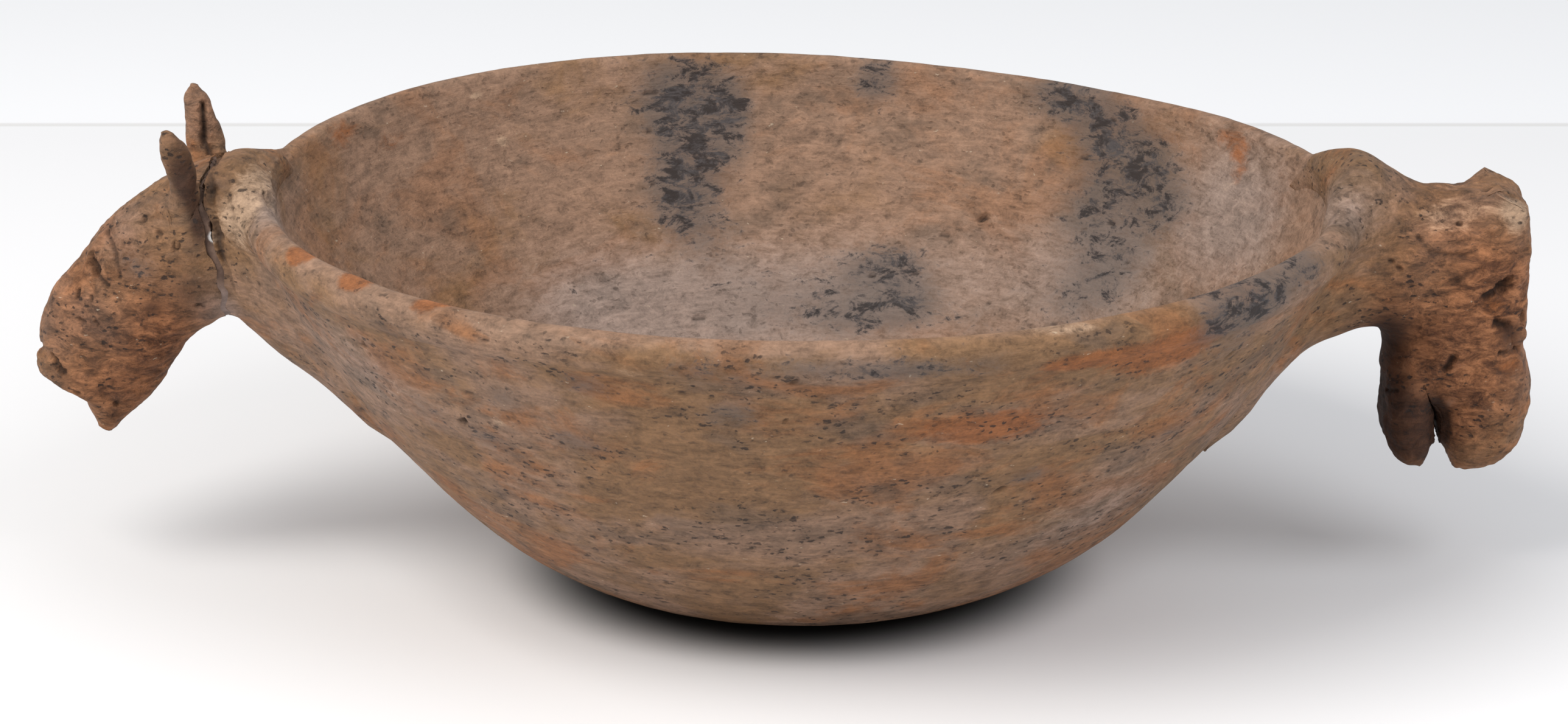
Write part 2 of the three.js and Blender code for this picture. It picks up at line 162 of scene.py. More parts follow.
# The whole section in runs from seam to seam: foot, coils outside, lip, coils inside, floor.
# The steps are the distances between the skin's rows, in millimetres.
WALL_STEP = 1.05
FOOT_STEP = 1.25
LIP_STEP = 0.8
outside = [wall(np.linspace(low, high, 80)) for low, high in zip(seam_sweeps, seam_sweeps[1:])]
outside[-1] = np.vstack([wall(np.linspace(seam_sweeps[-2], LIP_LEAD_START, 40)), before_lip])
inside = [wall(sweeps, clay_depth(sweeps))
          for sweeps in (np.linspace(high, low, 80)
                         for high, low in zip(inner_sweeps[:0:-1], inner_sweeps[-2::-1]))]
sweeps = np.linspace(inner_sweeps[-1] - LIP_TAIL_END, inner_sweeps[-2], 40)
inside[0] = np.vstack([after_lip, wall(sweeps, clay_depth(sweeps))])
runs = [evenly(np.vstack([[0.0, 0.0], wall(np.linspace(0, BASE_SWEEP, 200))]), FOOT_STEP)]
runs += [evenly(run, WALL_STEP) for run in outside]
runs.append(evenly(lip, LIP_STEP))
runs += [evenly(run, WALL_STEP) for run in inside]
sweeps = np.linspace(inner_sweeps[0], 0, 200)
runs.append(evenly(np.vstack([wall(sweeps, clay_depth(sweeps)), [0.0, FLOOR]]), FOOT_STEP))
seam_rows = np.cumsum([0] + [len(run) - 1 for run in runs])
section = np.vstack([runs[0]] + [run[1:] for run in runs[1:]])


NOISE_VALUES = 8192
NOISE_PRIMES = (73856093, 19349663, 83492791)


def clay_noise(points, size, seed):
    """Smooth unevenness between about -1 and 1: the points are divided by the size, and the
    value runs smoothly between the eight corners of a cube of a lattice of set values. The
    value at a corner is picked by its three whole numbers, each times a large prime."""
    places = np.asarray(points, float) / size + 31.7 * seed
    cell = np.floor(places).astype(np.int64)
    t = places - cell
    t = t * t * t * (t * (6 * t - 15) + 10)
    values = np.random.default_rng(seed).uniform(-1, 1, NOISE_VALUES)
    total = np.zeros(places.shape[:-1])
    for corner in np.ndindex(2, 2, 2):
        key = np.bitwise_xor.reduce((cell + corner) * NOISE_PRIMES, axis=-1)
        share = np.prod(np.where(corner, t, 1 - t), axis=-1)
        total += values[key & (NOISE_VALUES - 1)] * share
    return total


def skin_normals(rings):
    """Unit normals of a skin of rings: the step round the ring crossed with the step to the
    next ring."""
    around = np.roll(rings, -1, 1) - np.roll(rings, 1, 1)
    normals = np.cross(around, np.gradient(rings, axis=0))
    return normals / np.maximum(np.linalg.norm(normals, axis=-1, keepdims=True), 1e-9)


def facing_away(rings):
    """Normals of rings of clay, turned away from the middle of each ring."""
    normals = skin_normals(rings)
    outwards = (normals * (rings - rings.mean(1, keepdims=True))).sum(-1)
    return normals * np.sign(np.median(outwards))


RAGGED = 0.3


def pressed(points, marks):
    """Depth and hollow of pits and scratches: each mark is a straight stroke between the two
    places of the skin nearest to the ones given, with a half width and a depth. It is deepest
    on its middle line and falls to nothing at its half width as the square of (1 - q squared),
    with q the distance over the half width, made ragged by clay_noise. The hollow, greater
    where a mark is deep for its width, sets how much painted shade the clay gets there."""
    flat = points.reshape(-1, 3)
    depth = np.zeros(len(flat))
    hollow = np.zeros(len(flat))
    for mark in marks:
        start, end, half, deep = np.array(mark[:3]), np.array(mark[3:6]), mark[6], mark[7]
        middle, reach = (start + end) / 2, np.linalg.norm(end - start) / 2 + half * 1.6 + 3.5
        near = np.flatnonzero(np.abs(flat - middle).max(1) < reach)
        if not len(near):
            continue
        spots = flat[near]
        start = spots[((spots - start) ** 2).sum(1).argmin()]
        end = spots[((spots - end) ** 2).sum(1).argmin()]
        stroke = end - start
        share = np.clip((spots - start) @ stroke / max(stroke @ stroke, 1e-6), 0, 1)
        away = np.linalg.norm(spots - start - share[:, None] * stroke, axis=1)
        uneven = 1 + RAGGED * (clay_noise(spots, max(half, 0.9), 5)
                               + 0.8 * clay_noise(spots, 0.7, 6))
        q = away / (half * uneven)
        dip = np.clip(1 - q ** 2, 0, 1) ** 2
        depth[near] = np.maximum(depth[near], deep * dip)
        hollow[near] = np.maximum(hollow[near], dip * min(deep / max(half, 0.3), 1.0))
    return depth.reshape(points.shape[:-1]), hollow.reshape(points.shape[:-1])


def stained(points, spots):
    """Strength of stains in the clay: each spot is a place, three half sizes and a strength, and
    falls off as a bell. The stains are added up."""
    total = np.zeros(points.shape[:-1])
    for x, y, z, half_x, half_y, half_z, strength in spots:
        away = (points - (x, y, z)) / (half_x, half_y, half_z)
        total += strength * np.exp(-np.clip((away ** 2).sum(-1), 0, 30))
    return total


def worked(points):
    """How far the smoothed skin stands off the true form: long level swells from the potter's
    hand, then shorter and finer unevenness, all from clay_noise."""
    level = points * (1.0, 1.0, 3.2)
    return (0.42 * clay_noise(level, 52, 1) + 0.16 * clay_noise(level, 17, 2)
            + 0.07 * clay_noise(points, 5.5, 3) + 0.035 * clay_noise(points, 2.2, 4) - 0.35)


AROUND = 960
turn = np.linspace(-math.pi, math.pi, AROUND, endpoint=False)
radius, height = section[:, 0][:, None], section[:, 1][:, None]
bowl_skin = np.stack([radius * np.cos(turn), radius * np.sin(turn),
                      height + sway(turn, height)], -1)


GAP_RADII = (60, 215)
GAP_HEIGHTS = (-10, 160)
GAP_STEP = 0.5


def table_of_gaps(outline):
    """Signed distances to the bowl's section over a grid of radius and height: the nearest
    stretch of the outline gives the distance, and the number of stretches that a level line
    crosses tells inside, which is negative, from outside."""
    radii = np.arange(*GAP_RADII, GAP_STEP)
    heights = np.arange(*GAP_HEIGHTS, GAP_STEP)
    spots = np.stack(np.meshgrid(radii, heights, indexing="ij"), -1).reshape(-1, 2)
    best = np.full(len(spots), 1e9)
    inside = np.zeros(len(spots), bool)
    for start, end in zip(outline, np.roll(outline, -1, 0)):
        stretch = end - start
        share = np.clip((spots - start) @ stretch / max(stretch @ stretch, 1e-9), 0, 1)
        best = np.minimum(best, np.linalg.norm(spots - start - share[:, None] * stretch, axis=1))
        straddles = (start[1] > spots[:, 1]) != (end[1] > spots[:, 1])
        rise = stretch[1] if abs(stretch[1]) > 1e-9 else 1e-9
        inside ^= straddles & (spots[:, 0] < start[0] + stretch[0] * (spots[:, 1] - start[1]) / rise)
    return np.where(inside, -best, best).reshape(len(radii), len(heights))


bowl_gaps = table_of_gaps(section[::3])


def gap_to_bowl(points):
    """Signed distance to the bowl's skin: the rim's sway is taken off the height, and the value
    is read between four places of the table."""
    angle = np.arctan2(points[..., 1], points[..., 0])
    u = (np.hypot(points[..., 0], points[..., 1]) - GAP_RADII[0]) / GAP_STEP
    v = (points[..., 2] - sway(angle, points[..., 2]) - GAP_HEIGHTS[0]) / GAP_STEP
    u = np.clip(u, 0, bowl_gaps.shape[0] - 2)
    v = np.clip(v, 0, bowl_gaps.shape[1] - 2)
    i, j = u.astype(int), v.astype(int)
    a, b = u - i, v - j
    return ((1 - a) * (1 - b) * bowl_gaps[i, j] + a * (1 - b) * bowl_gaps[i + 1, j]
            + (1 - a) * b * bowl_gaps[i, j + 1] + a * b * bowl_gaps[i + 1, j + 1])


# The forms of the two ends, solid clay necks and heads that the wall is smeared up to. Each row
# is a front or top edge [out, up], a back or bottom edge [out, up] and the half width. A head's
# row is measured from the middle of the neck's face, and may end with the power that squares
# the back's corners.
ROUND_POWER = 2.3
LEFT_NECK = [(150.0, 104.0, 112.0, 42.0, 50), (150.5, 110.0, 122.0, 48.0, 44),
             (152.5, 116.5, 134.6, 56.0, 37), (156.0, 120.8, 147.9, 63.5, 30.5),
             (161.0, 122.3, 157.1, 71.0, 25), (168.0, 120.8, 165.0, 75.4, 22.5)]
RIGHT_NECK = [(149.5, 101.0, 112.0, 40.0, 48), (150.0, 108.5, 123.1, 48.5, 43),
              (152.0, 116.5, 130.2, 57.0, 38), (155.5, 121.3, 141.1, 65.5, 32),
              (161.0, 121.1, 151.9, 69.3, 26), (168.0, 116.8, 158.1, 71.5, 23),
              (175.0, 113.0, 163.0, 71.8, 22)]
LEFT_FACE = (166.5, 98.1)
RIGHT_FACE = (169.0, 92.4)
LEFT_HEAD = [(9.1, 20.2, 4.6, -26.1, 23.5), (16.1, 16.5, 7.4, -29.2, 23.5),
             (23.6, 11.5, 9.3, -31.9, 22.5), (30.6, 6.1, 10.8, -34.7, 21),
             (36.3, -0.9, 12.2, -37.2, 19.8), (41.3, -7.9, 13.6, -39.3, 18.8),
             (46.9, -13.5, 15.0, -41.2, 17.6), (49.9, -19.6, 16.4, -43.0, 16.6),
             (51.7, -26.4, 17.6, -44.6, 15.8), (52.0, -30.0, 18.5, -45.6, 15.3),
             (51.3, -32.4, 19.2, -46.5, 15), (53.4, -35.2, 20.2, -47.7, 14.5),
             (53.2, -38.9, 21.6, -49.2, 13.8), (50.2, -41.3, 23.2, -50.9, 13),
             (45.6, -43.5, 24.8, -52.5, 12), (41.4, -45.4, 26.3, -54.0, 11.2),
             (39.6, -47.8, 27.8, -55.3, 10.4), (38.8, -51.2, 29.4, -56.8, 9),
             (37.3, -55.6, 31.2, -58.4, 7.0)]
RIGHT_HEAD = [(15, 19.7, -4, -22.6, 21.5), (22, 20.5, -3.2, -24.8, 20.5),
              (29.5, 20.4, -2.6, -26.8, 20), (36.8, 15.6, -2.4, -29.3, 20),
              (38.3, 3.6, -2.4, -33.3, 19.5, 2.5), (38.4, -8, 1.6, -38.3, 19.2, 3),
              (38.4, -17, 7.0, -42.2, 18.9, 3), (38.6, -25.5, 11.4, -45.0, 18.5, 2.8),
              (40.0, -32.5, 12.6, -49.0, 18.1, 2.8), (40.3, -38.5, 13.2, -53.0, 17.6, 2.8),
              (40.0, -44.5, 14.4, -56.6, 16.9, 3), (38.9, -50.2, 15.9, -59.8, 15.6, 3.4),
              (37.3, -55.8, 16.8, -62.4, 13.2, 3.4), (34.0, -59.9, 18.4, -63.7, 9.5, 3)]


def edge_rows(side, neck, face, head):
    """Rows of x and z of both edges, half width, middle and the power that squares the back's
    corners, for a neck and a head set at the middle of the neck's face; side is -1 for the left
    end and 1 for the right."""
    rows = [(side * a, b, side * c, d, half, 0.0, ROUND_POWER) for a, b, c, d, half in neck]
    rows += [(side * (face[0] + a), face[1] + b, side * (face[0] + c), face[1] + d, half, 0.0,
              *(square or [ROUND_POWER])) for a, b, c, d, half, *square in head]
    return np.array(rows, float)


WRAP_END = 168
WRAP_FADE = 16
WRAP_ACROSS = 60


def wrapped(points, inverse=False):
    """Bends clay round the bowl: near the wall, a point goes towards the axis by the hollow of
    a circle through it, x less the root of x squared less y squared, fading out by WRAP_END.
    The inverse takes a bent point back, in four steps."""
    far = np.abs(points[..., 0])
    across = np.minimum(np.abs(points[..., 1]), WRAP_ACROSS)
    moved = far
    for _ in range(4 if inverse else 1):
        base = moved
        fade = np.clip((WRAP_END - base) / WRAP_FADE, 0, 1)
        fade = fade * fade * (3 - 2 * fade)
        hollow = (base - np.sqrt(np.maximum(base ** 2 - across ** 2, 1))) * fade
        moved = far + hollow if inverse else far - hollow
    out = points.copy()
    out[..., 0] = np.sign(points[..., 0]) * moved
    return out


BATCH = 20000


def gap_to_loft(points, lines, wrap=False):
    """Signed distance to clay modelled between two edge lines. The lines are laid across the
    form, and the two that a point lies between give by their distances the line through it.
    On that line the place along and the place across give phi, the root of the sum of their
    powers, ROUND_POWER in front and the line's own behind, which is 1 on the skin, and the gap
    is the distance from the middle times (1 - 1 / phi). Past an end the distance to the end's
    plane is added. The points go through in batches, to spare memory."""
    spots = wrapped(points, True) if wrap else points
    middles, halves = (lines[:, :2] + lines[:, 2:4]) / 2, (lines[:, :2] - lines[:, 2:4]) / 2
    lengths = np.maximum(np.linalg.norm(halves, axis=1), 1e-3)
    steps = np.gradient(middles, axis=0)
    sideways = np.stack([-halves[:, 1], halves[:, 0]], -1) / lengths[:, None]
    sideways *= np.sign((sideways * steps).sum(1))[:, None]
    flat = spots.reshape(-1, 3)
    gaps = np.empty(len(flat))
    for part in range(0, len(flat), BATCH):
        spot = flat[part:part + BATCH]
        x, z = spot[:, 0][:, None], spot[:, 2][:, None]
        past = (x - middles[:, 0]) * sideways[:, 0] + (z - middles[:, 1]) * sideways[:, 1]
        between = (past[:, :-1] >= 0) & (past[:, 1:] < 0)
        first = between.argmax(1)
        found = between.any(1)
        row = np.arange(len(spot))
        start, end = past[row, first], past[row, first + 1]
        place = first + np.where(found, start / np.where(found, start - end, 1), 0)
        beyond = np.where(found, 0.0, np.maximum(past[:, -1], -past[:, 0]))
        place = np.where(found, place, np.where(past[:, -1] >= 0, len(lines) - 1.0, 0.0))
        low = np.minimum(place.astype(int), len(lines) - 2)
        share = (place - low)[:, None]
        line = lines[low] * (1 - share) + lines[low + 1] * share
        middle, half = (line[:, :2] + line[:, 2:4]) / 2, (line[:, :2] - line[:, 2:4]) / 2
        length = np.maximum(np.linalg.norm(half, axis=1), 1e-3)
        along = ((spot[:, [0, 2]] - middle) * half).sum(1) / length
        across = spot[:, 1] - line[:, 5]
        power = np.where(along > 0, ROUND_POWER, line[:, 6])
        phi = (np.abs(along / length) ** power
               + np.abs(across / np.maximum(line[:, 4], 1e-3)) ** power) ** (1 / power)
        rho = np.hypot(along, across)
        radial = np.where(phi > 0.05, rho * (1 - 1 / np.maximum(phi, 0.05)), -length)
        gaps[part:part + BATCH] = np.where(
            beyond > 0, np.hypot(np.maximum(radial, 0), beyond), radial)
    return gaps.reshape(points.shape[:-1])


SMEAR_STEPS = 5
SINK_MOST = 1.3


def smeared(points, normals, other, reach):
    """Carries a skin out to where it is smeared up to another form. A point goes out along its
    own normal by the t for which the nearer of t and the gap to the other form, less a quarter
    of the reach times the square of the share that the two are alike, is nought. Past the line
    between the forms it sinks under the other skin, and clay deep inside the other stays."""
    flat, ways = points.reshape(-1, 3), normals.reshape(-1, 3)
    gaps = other(flat)
    reaches = reach(flat) if callable(reach) else np.full(len(flat), reach)
    near = np.flatnonzero((gaps < reaches * 1.02) & (gaps > -0.6 * reaches))
    if not len(near):
        return points
    start, way, local = flat[near], ways[near], reaches[near]

    def value(out):
        gap = other(start + way * out[:, None])
        alike = np.clip(local - np.abs(out - gap), 0, None) / local
        return np.minimum(out, gap) - alike ** 2 * local / 4, gap

    out = np.zeros(len(near))
    for _ in range(SMEAR_STEPS):
        here = value(out)[0]
        slope = (value(out + 0.05)[0] - here) / 0.05
        out = np.clip(out - here / np.maximum(slope, 0.3), 0, 0.5 * local)
    gap = value(out)[1]
    out = out - np.clip((out - gap) * 0.5, 0, SINK_MOST)
    keep = np.clip(gaps[near] / local / 0.4 + 1.25, 0, 1)
    result = flat.copy()
    result[near] = start + way * (out * keep * keep * (3 - 2 * keep))[:, None]
    return result.reshape(points.shape)


NECK_REACH = 13.0
INNER_REACH = 1.5
LIP_REACH = 7.0


def neck_reach(points):
    """How far a neck's clay is smeared on the wall: fully on the wall's outside and on the lip,
    and hardly at all on the inner skin, from which the radius is measured. The least reach
    grows from the inner skin's to the lip's between 96 and 108 mm up."""
    height = points[..., 2] - sway(np.arctan2(points[..., 1], points[..., 0]), points[..., 2])
    inner = np.interp(height, inner_skin[:, 1], inner_skin[:, 0])
    outward = np.clip((np.hypot(points[..., 0], points[..., 1]) - inner) / 5.0, 0, 1)
    least = INNER_REACH + (LIP_REACH - INNER_REACH) * np.clip((height - 96) / 12, 0, 1)
    return least + (NECK_REACH - least) * outward ** 2 * (3 - 2 * outward)


sweeps = np.linspace(0.3, 0.955, 120)
inner_skin = wall(sweeps, clay_depth(sweeps))
left_rows = edge_rows(-1, LEFT_NECK, LEFT_FACE, LEFT_HEAD)
right_rows = edge_rows(1, RIGHT_NECK, RIGHT_FACE, RIGHT_HEAD)
LEFT_LINES, LEFT_NECK_LINES = 150, 60
RIGHT_LINES, RIGHT_NECK_LINES = 180, 70
left_lines = smooth_through(left_rows, np.linspace(0, 1, LEFT_LINES))
right_lines = smooth_through(right_rows, np.linspace(0, 1, RIGHT_LINES))


def gap_to(lines, wrap=True):
    """Gives the function that measures the gap to a loft between these edge lines. Wrap is for
    clay that is bent round the wall."""
    return lambda points: gap_to_loft(points, lines, wrap)


def bowl_facing_away():
    """Normals of the bowl's skin, turned out of the clay: a row low on the outer wall, where
    out of the clay is away from the axis, tells which way."""
    normals = skin_normals(bowl_skin)
    row = len(runs[0]) + 20
    return normals * np.sign((normals[row] * bowl_skin[row]).sum(-1).mean())


# The wall swells up to each neck, then takes the unevenness of the hand and its pits. A pit
# has two ends, a half width and a depth.
SWELL_TURN = 0.62
SWELL_FROM = 22
BOWL_PITS = [
    (-90.9, -106.3, 76.3, -89.4, -107.4, 77.2, 1.5, 1.8),
    (55.0, 114.2, 70.3, 57.2, 113.2, 71.4, 1.5, 1.7),
    (50.6, -120.4, 62.0, 52.0, -119.9, 62.9, 1.2, 1.2),
    (-3.4, -156.8, 104.0, -1.6, -156.8, 104.2, 1.2, 1.0),
    (-117.5, -93.6, 94.9, -117.0, -93.4, 93.4, 1.0, 0.9),
    (-115.9, -92.4, 91.1, -115.5, -92.5, 90.6, 0.8, 0.7),
    (112.4, -97.6, 92.0, 114.0, -96.4, 92.8, 1.1, 0.9),
]
normals = bowl_facing_away()
for lines, middle in ((left_lines[:LEFT_NECK_LINES], math.pi),
                      (right_lines[:RIGHT_NECK_LINES], 0.0)):
    columns = np.flatnonzero(np.abs(np.angle(np.exp(1j * (turn - middle)))) < SWELL_TURN)
    rows = np.flatnonzero(section[:, 1] > SWELL_FROM)
    place = np.ix_(rows, columns)
    bowl_skin[place] = smeared(bowl_skin[place], normals[place], gap_to(lines), neck_reach)


def scattered_pits(seed, count, half, deep, spread):
    """Pits where grit fell out or burnt out: places drawn at random over the wall, each a short
    level stroke of random size up to the half width and depth given."""
    draw = np.random.default_rng(seed)
    angle = draw.uniform(-math.pi, math.pi, count)
    sweep = np.sqrt(draw.uniform(0.02, 0.99, count))
    inside = draw.uniform(0, 1, count) < 0.55
    spot = wall(sweep, np.where(inside, clay_depth(sweep), 0.0))
    size = draw.uniform(0.35, 1, count) ** 2
    length = draw.uniform(0, spread, count) * size
    x, y = spot[:, 0] * np.cos(angle), spot[:, 0] * np.sin(angle)
    z = spot[:, 1] + sway(angle, spot[:, 1])
    dx, dy = -np.sin(angle) * length, np.cos(angle) * length
    return np.stack([x - dx, y - dy, z, x + dx, y + dy, z, half * size, deep * size], -1)


scattered = scattered_pits(seed=11, count=170, half=1.0, deep=0.75, spread=1.8)
depth, bowl_hollow = pressed(bowl_skin, BOWL_PITS + [tuple(row) for row in scattered])
off_foot = np.clip(bowl_skin[..., 2] / 3.0, 0, 1)
off_foot[seam_rows[4]:] = 1
bowl_skin = bowl_skin + bowl_facing_away() * ((worked(bowl_skin) - depth) * off_foot)[..., None]
bowl_normals = bowl_facing_away()

# Stains of the firing and of wear: soot clouds, patches fired orange, pale worn places, a film
# of pinkish grey and the heads' coarse red clay; and darker patches, partly clay darkened by
# handling and partly painted shade beside and under the ears, on the cheeks, the right throat
# and the right jaw and in crevices.
# Each is a place, three half sizes and a strength.
SOOT = [
    (-37, 139, 104, 15, 14, 12, 1.1), (-33, 134, 90, 14, 14, 14, 1.0), (-37, 124, 74, 13, 12, 13, 0.9),
    (-22, 141, 98, 9, 12, 12, 0.6), (-30, 118, 62, 14, 12, 10, 0.4), (24, 146, 107, 8, 10, 8, 0.95),
    (82, 122, 107, 16, 14, 8, 1.0), (94, 110, 98, 14, 12, 11, 1.0), (106, 95, 92, 13, 12, 12, 0.9),
    (112, 80, 84, 12, 12, 10, 0.75), (90, 98, 78, 17, 14, 14, 0.75), (98, 80, 66, 18, 14, 13, 0.7),
    (80, 78, 56, 16, 16, 12, 0.5), (26, 112, 56, 15, 10, 8, 0.75), (33, 103, 46, 12, 10, 8, 0.75),
    (14, 100, 42, 12, 9, 6, 0.4), (56, 92, 42, 10, 9, 6, 0.4), (0, 106, 46, 40, 18, 11, 0.5),
    (118, -99, 110, 18, 14, 8, 1.05), (131, -76, 112, 12, 14, 6, 0.9), (104, -112, 107, 14, 10, 7, 0.9),
    (112, -98, 94, 16, 12, 9, 0.45), (142, -50, 100, 9, 16, 10, 0.4), (-57, -141, 98, 10, 6, 4, 0.7),
    (-30, -157, 105, 13, 6, 7, 0.6), (0, -158, 108, 15, 8, 4, 0.6), (26, -157, 107, 15, 6, 3.5, 0.85),
    (46, -150, 107, 11, 8, 5, 0.5), (-18, -150, 92, 9, 9, 5, 0.75), (-80, -128, 88, 8, 9, 6, 0.75),
    (-86, -112, 72, 11, 9, 5, 0.75), (-104, -101, 76, 9, 9, 6, 0.7), (-60, -128, 78, 10, 8, 5, 0.65),
    (60, -120, 66, 9, 9, 4, 0.65), (-163.4, -23, 89, 2.6, 5, 6, 0.5), (100, -98, 70, 8, 10, 4, 0.6),
    (184.5, -18, 52, 3, 8, 9, 0.3), (-192, -18, 96, 8, 9, 6, 0.4), (-184, -22, 93, 7, 8, 6, 0.35),
]
ORANGE = [
    (-137, 60, 112, 12, 14, 6, 0.7), (-123, 78, 105, 12, 14, 7, 0.5), (-118, -97, 113, 7, 7, 3, 1.3),
    (-135, -72, 113, 6, 8, 3, 1.3), (-96, -118, 113, 8, 5, 3, 1.2), (51, -135, 85, 24, 12, 7, 0.9),
    (30, -140, 88, 22, 12, 6, 0.45), (72, -140, 104, 20, 10, 4, 1.0), (98, -122, 101, 24, 16, 8, 1.25),
    (-66, -122, 75, 14, 10, 5, 0.5), (127, 76, 107, 9, 9, 5, 0.6), (131, 67, 105, 7, 7, 5, 0.5),
    (201, -15, 64, 8, 8, 7, 0.7), (195, -18, 82, 7, 8, 5, 0.7), (173, -16, 64, 6, 8, 6, 0.6),
    (173.5, -16, 55, 4, 8, 3, 0.6), (-187, -21, 72, 8, 8, 10, 0.5), (-205, -12, 70, 8, 9, 8, 0.4),
    (-160, -24, 92, 5, 8, 8, 0.45), (164, -22, 86, 5, 7, 4, 0.5),
    (129, 63, 98, 8, 8, 6, 0.5), (-40, -104, 38, 34, 24, 14, 0.35), (60, 118, 66, 8, 8, 6, 0.4),
]
PALE = [
    (-99, 109, 111, 4, 4, 2, 0.8), (-91, 107, 97, 4, 4, 2.5, 0.8), (-45, -151, 104, 12, 6, 4, 0.5),
    (60, -140, 100, 24, 9, 6, 0.3), (55, -138, 112.5, 30, 6, 1.6, 0.9),
    (-156, -27, 110, 10, 14, 9, 1.0), (-152, -10, 119, 9, 20, 5, 0.6),
    (180, -18, 107, 16, 9, 6, 0.55), (186, 0, 111, 16, 24, 4, 0.45), (201, -15, 109, 5, 8, 8, 0.8),
    (-80, -116, 80, 3, 4, 2, 0.8), (-165.2, -22.7, 103.2, 1.5, 3, 1.6, 1.6),
    (-190, -12, 108, 12, 14, 6, 0.3), (129, 63, 98, 20, 20, 9, 0.45),
]
FILM = [
    (-50, 92, 46, 60, 30, 20, 0.95), (20, 108, 50, 60, 26, 22, 0.6),
    (92, 80, 62, 36, 34, 26, 0.75), (130, 52, 90, 22, 40, 24, 0.95),
    (-196, -18, 104, 16, 20, 12, 0.55), (-200, -16, 76, 14, 18, 14, 0.4),
    (-144, -26, 112, 14, 24, 12, 0.8), (-122, -88, 84, 24, 26, 20, 0.55),
    (148, -26, 112, 18, 26, 12, 0.6), (84, -92, 44, 28, 30, 18, 0.65),
    (-166, -10, 82, 9, 18, 8, 1.0),
]
RED = [
    (186, 0, 64, 22, 60, 26, 1.2), (172, 0, 50, 14, 60, 20, 1.0), (199, 0, 88, 13, 60, 14, 0.8),
    (-181, -22, 74, 15, 22, 18, 1.0), (-181, 22, 74, 15, 22, 18, 1.0), (-196, 0, 54, 18, 60, 14, 0.8),
    (-207, 0, 78, 12, 30, 20, 0.7), (182, 0, 102, 20, 60, 14, 0.6), (164, 0, 84, 9, 60, 12, 0.35),
    (-190, 0, 98, 16, 40, 14, 0.35), (-172, 0, 128, 9, 40, 14, 0.5),
]
# Darker patches: mostly painted shade, beside and under the ears, in the crevice by the break, on the
# cheeks, the right throat and under the right jaw; a few are darker clay.
DARK_CLAY_AND_SHADE = [
    (-172, -25, 124, 7, 6, 13, 0.75), (-168.6, -23, 108, 3.6, 6, 8, 1.0), (-171, 14, 125, 6, 5, 13, 0.6),
    (-184, -23, 82, 4, 6, 3.5, 0.7), (-173, -24, 88, 9, 8, 9, 0.6), (-187, -20, 58, 14, 12, 7, 0.55),
    (-176, -22, 70, 10, 12, 10, 0.35), (-171, -24, 118, 6, 7, 6, 0.5),
    (168, 0, 47, 10, 60, 18, 1.2), (166, -8, 74, 7, 20, 9, 1.0), (179, 0, 44, 4.5, 60, 9, 1.3),
    (181.5, -12, 43, 3.2, 20, 9, 1.2), (180, -20, 74, 6, 8, 8, 0.35),
    (200, -17, 73.5, 4.5, 5, 5, 0.8), (-10, -155, 106, 10, 6, 4, 0.4),
    (186, -19, 94, 9, 6, 3, 0.4), (206, -8, 62, 6, 20, 20, 0.25), (198, -16, 44, 10, 12, 10, 0.3),
]


SHARP_FROM = 52


def put_piece(node, points, faces, material, attributes, normals):
    """A closed mesh from an array of points in millimetres and one of faces, four corners each
    with a repeated last corner for a triangle, turned outwards by its volume, shaded smooth
    but for sharp edges, with one number at each point for each named attribute. It stands
    for the node. Where a point's normal is given as nought, Blender's own is used."""
    a, b, c, d = (points[faces[:, i]] for i in range(4))
    volume = (np.einsum("ij,ij->i", a, np.cross(b, c)) + np.einsum("ij,ij->i", a, np.cross(c, d))).sum()
    if volume < 0:
        faces = faces[:, ::-1]
        faces = np.where(faces[:, :1] == faces[:, 1:2], faces[:, [1, 2, 3, 3]], faces)
    three = faces[:, 2] == faces[:, 3]
    sizes = np.where(three, 3, 4)
    corners = faces.ravel()[np.stack([np.ones(len(faces), bool)] * 3 + [~three], -1).ravel()]
    mesh = bpy.data.meshes.new("clay_" + node)
    mesh.vertices.add(len(points))
    mesh.vertices.foreach_set("co", (points * 0.001).astype(np.float32).ravel())
    mesh.loops.add(len(corners))
    mesh.loops.foreach_set("vertex_index", corners.astype(np.int32))
    mesh.polygons.add(len(faces))
    starts = np.concatenate([[0], np.cumsum(sizes)[:-1]])
    mesh.polygons.foreach_set("loop_start", starts.astype(np.int32))
    mesh.update(calc_edges=True)
    mesh.validate()
    mesh.shade_smooth()
    mesh.set_sharp_from_angle(angle=math.radians(SHARP_FROM))
    mesh.normals_split_custom_set(normals[corners].astype(np.float32))
    for key, values in attributes.items():
        layer = mesh.attributes.new(key, "FLOAT", "POINT")
        layer.data.foreach_set("value", np.asarray(values, np.float32).ravel())
    piece = bpy.data.objects.new("clay_" + node, mesh)
    bpy.context.scene.collection.objects.link(piece)
    mesh.materials.append(material)
    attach(piece, "root")
    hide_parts(node)


def ring_faces(count, around, closed):
    """Faces between rings of the same number of points; closed joins the last to the first."""
    rows = np.arange(count if closed else count - 1)[:, None]
    columns = np.arange(around)[None]
    after, beside = (rows + 1) % count, (columns + 1) % around
    return np.stack([rows * around + columns, rows * around + beside,
                     after * around + beside, after * around + columns], -1).reshape(-1, 4)


def capped_faces(count, around):
    """Faces of rings with a fan to one more point at each end."""
    columns = np.arange(around)
    beside = (columns + 1) % around
    first, last = np.full(around, count * around), np.full(around, count * around + 1)
    base = (count - 1) * around
    return np.vstack([ring_faces(count, around, False),
                      np.stack([first, beside, columns, columns], -1),
                      np.stack([last, base + columns, base + beside, base + beside], -1)])


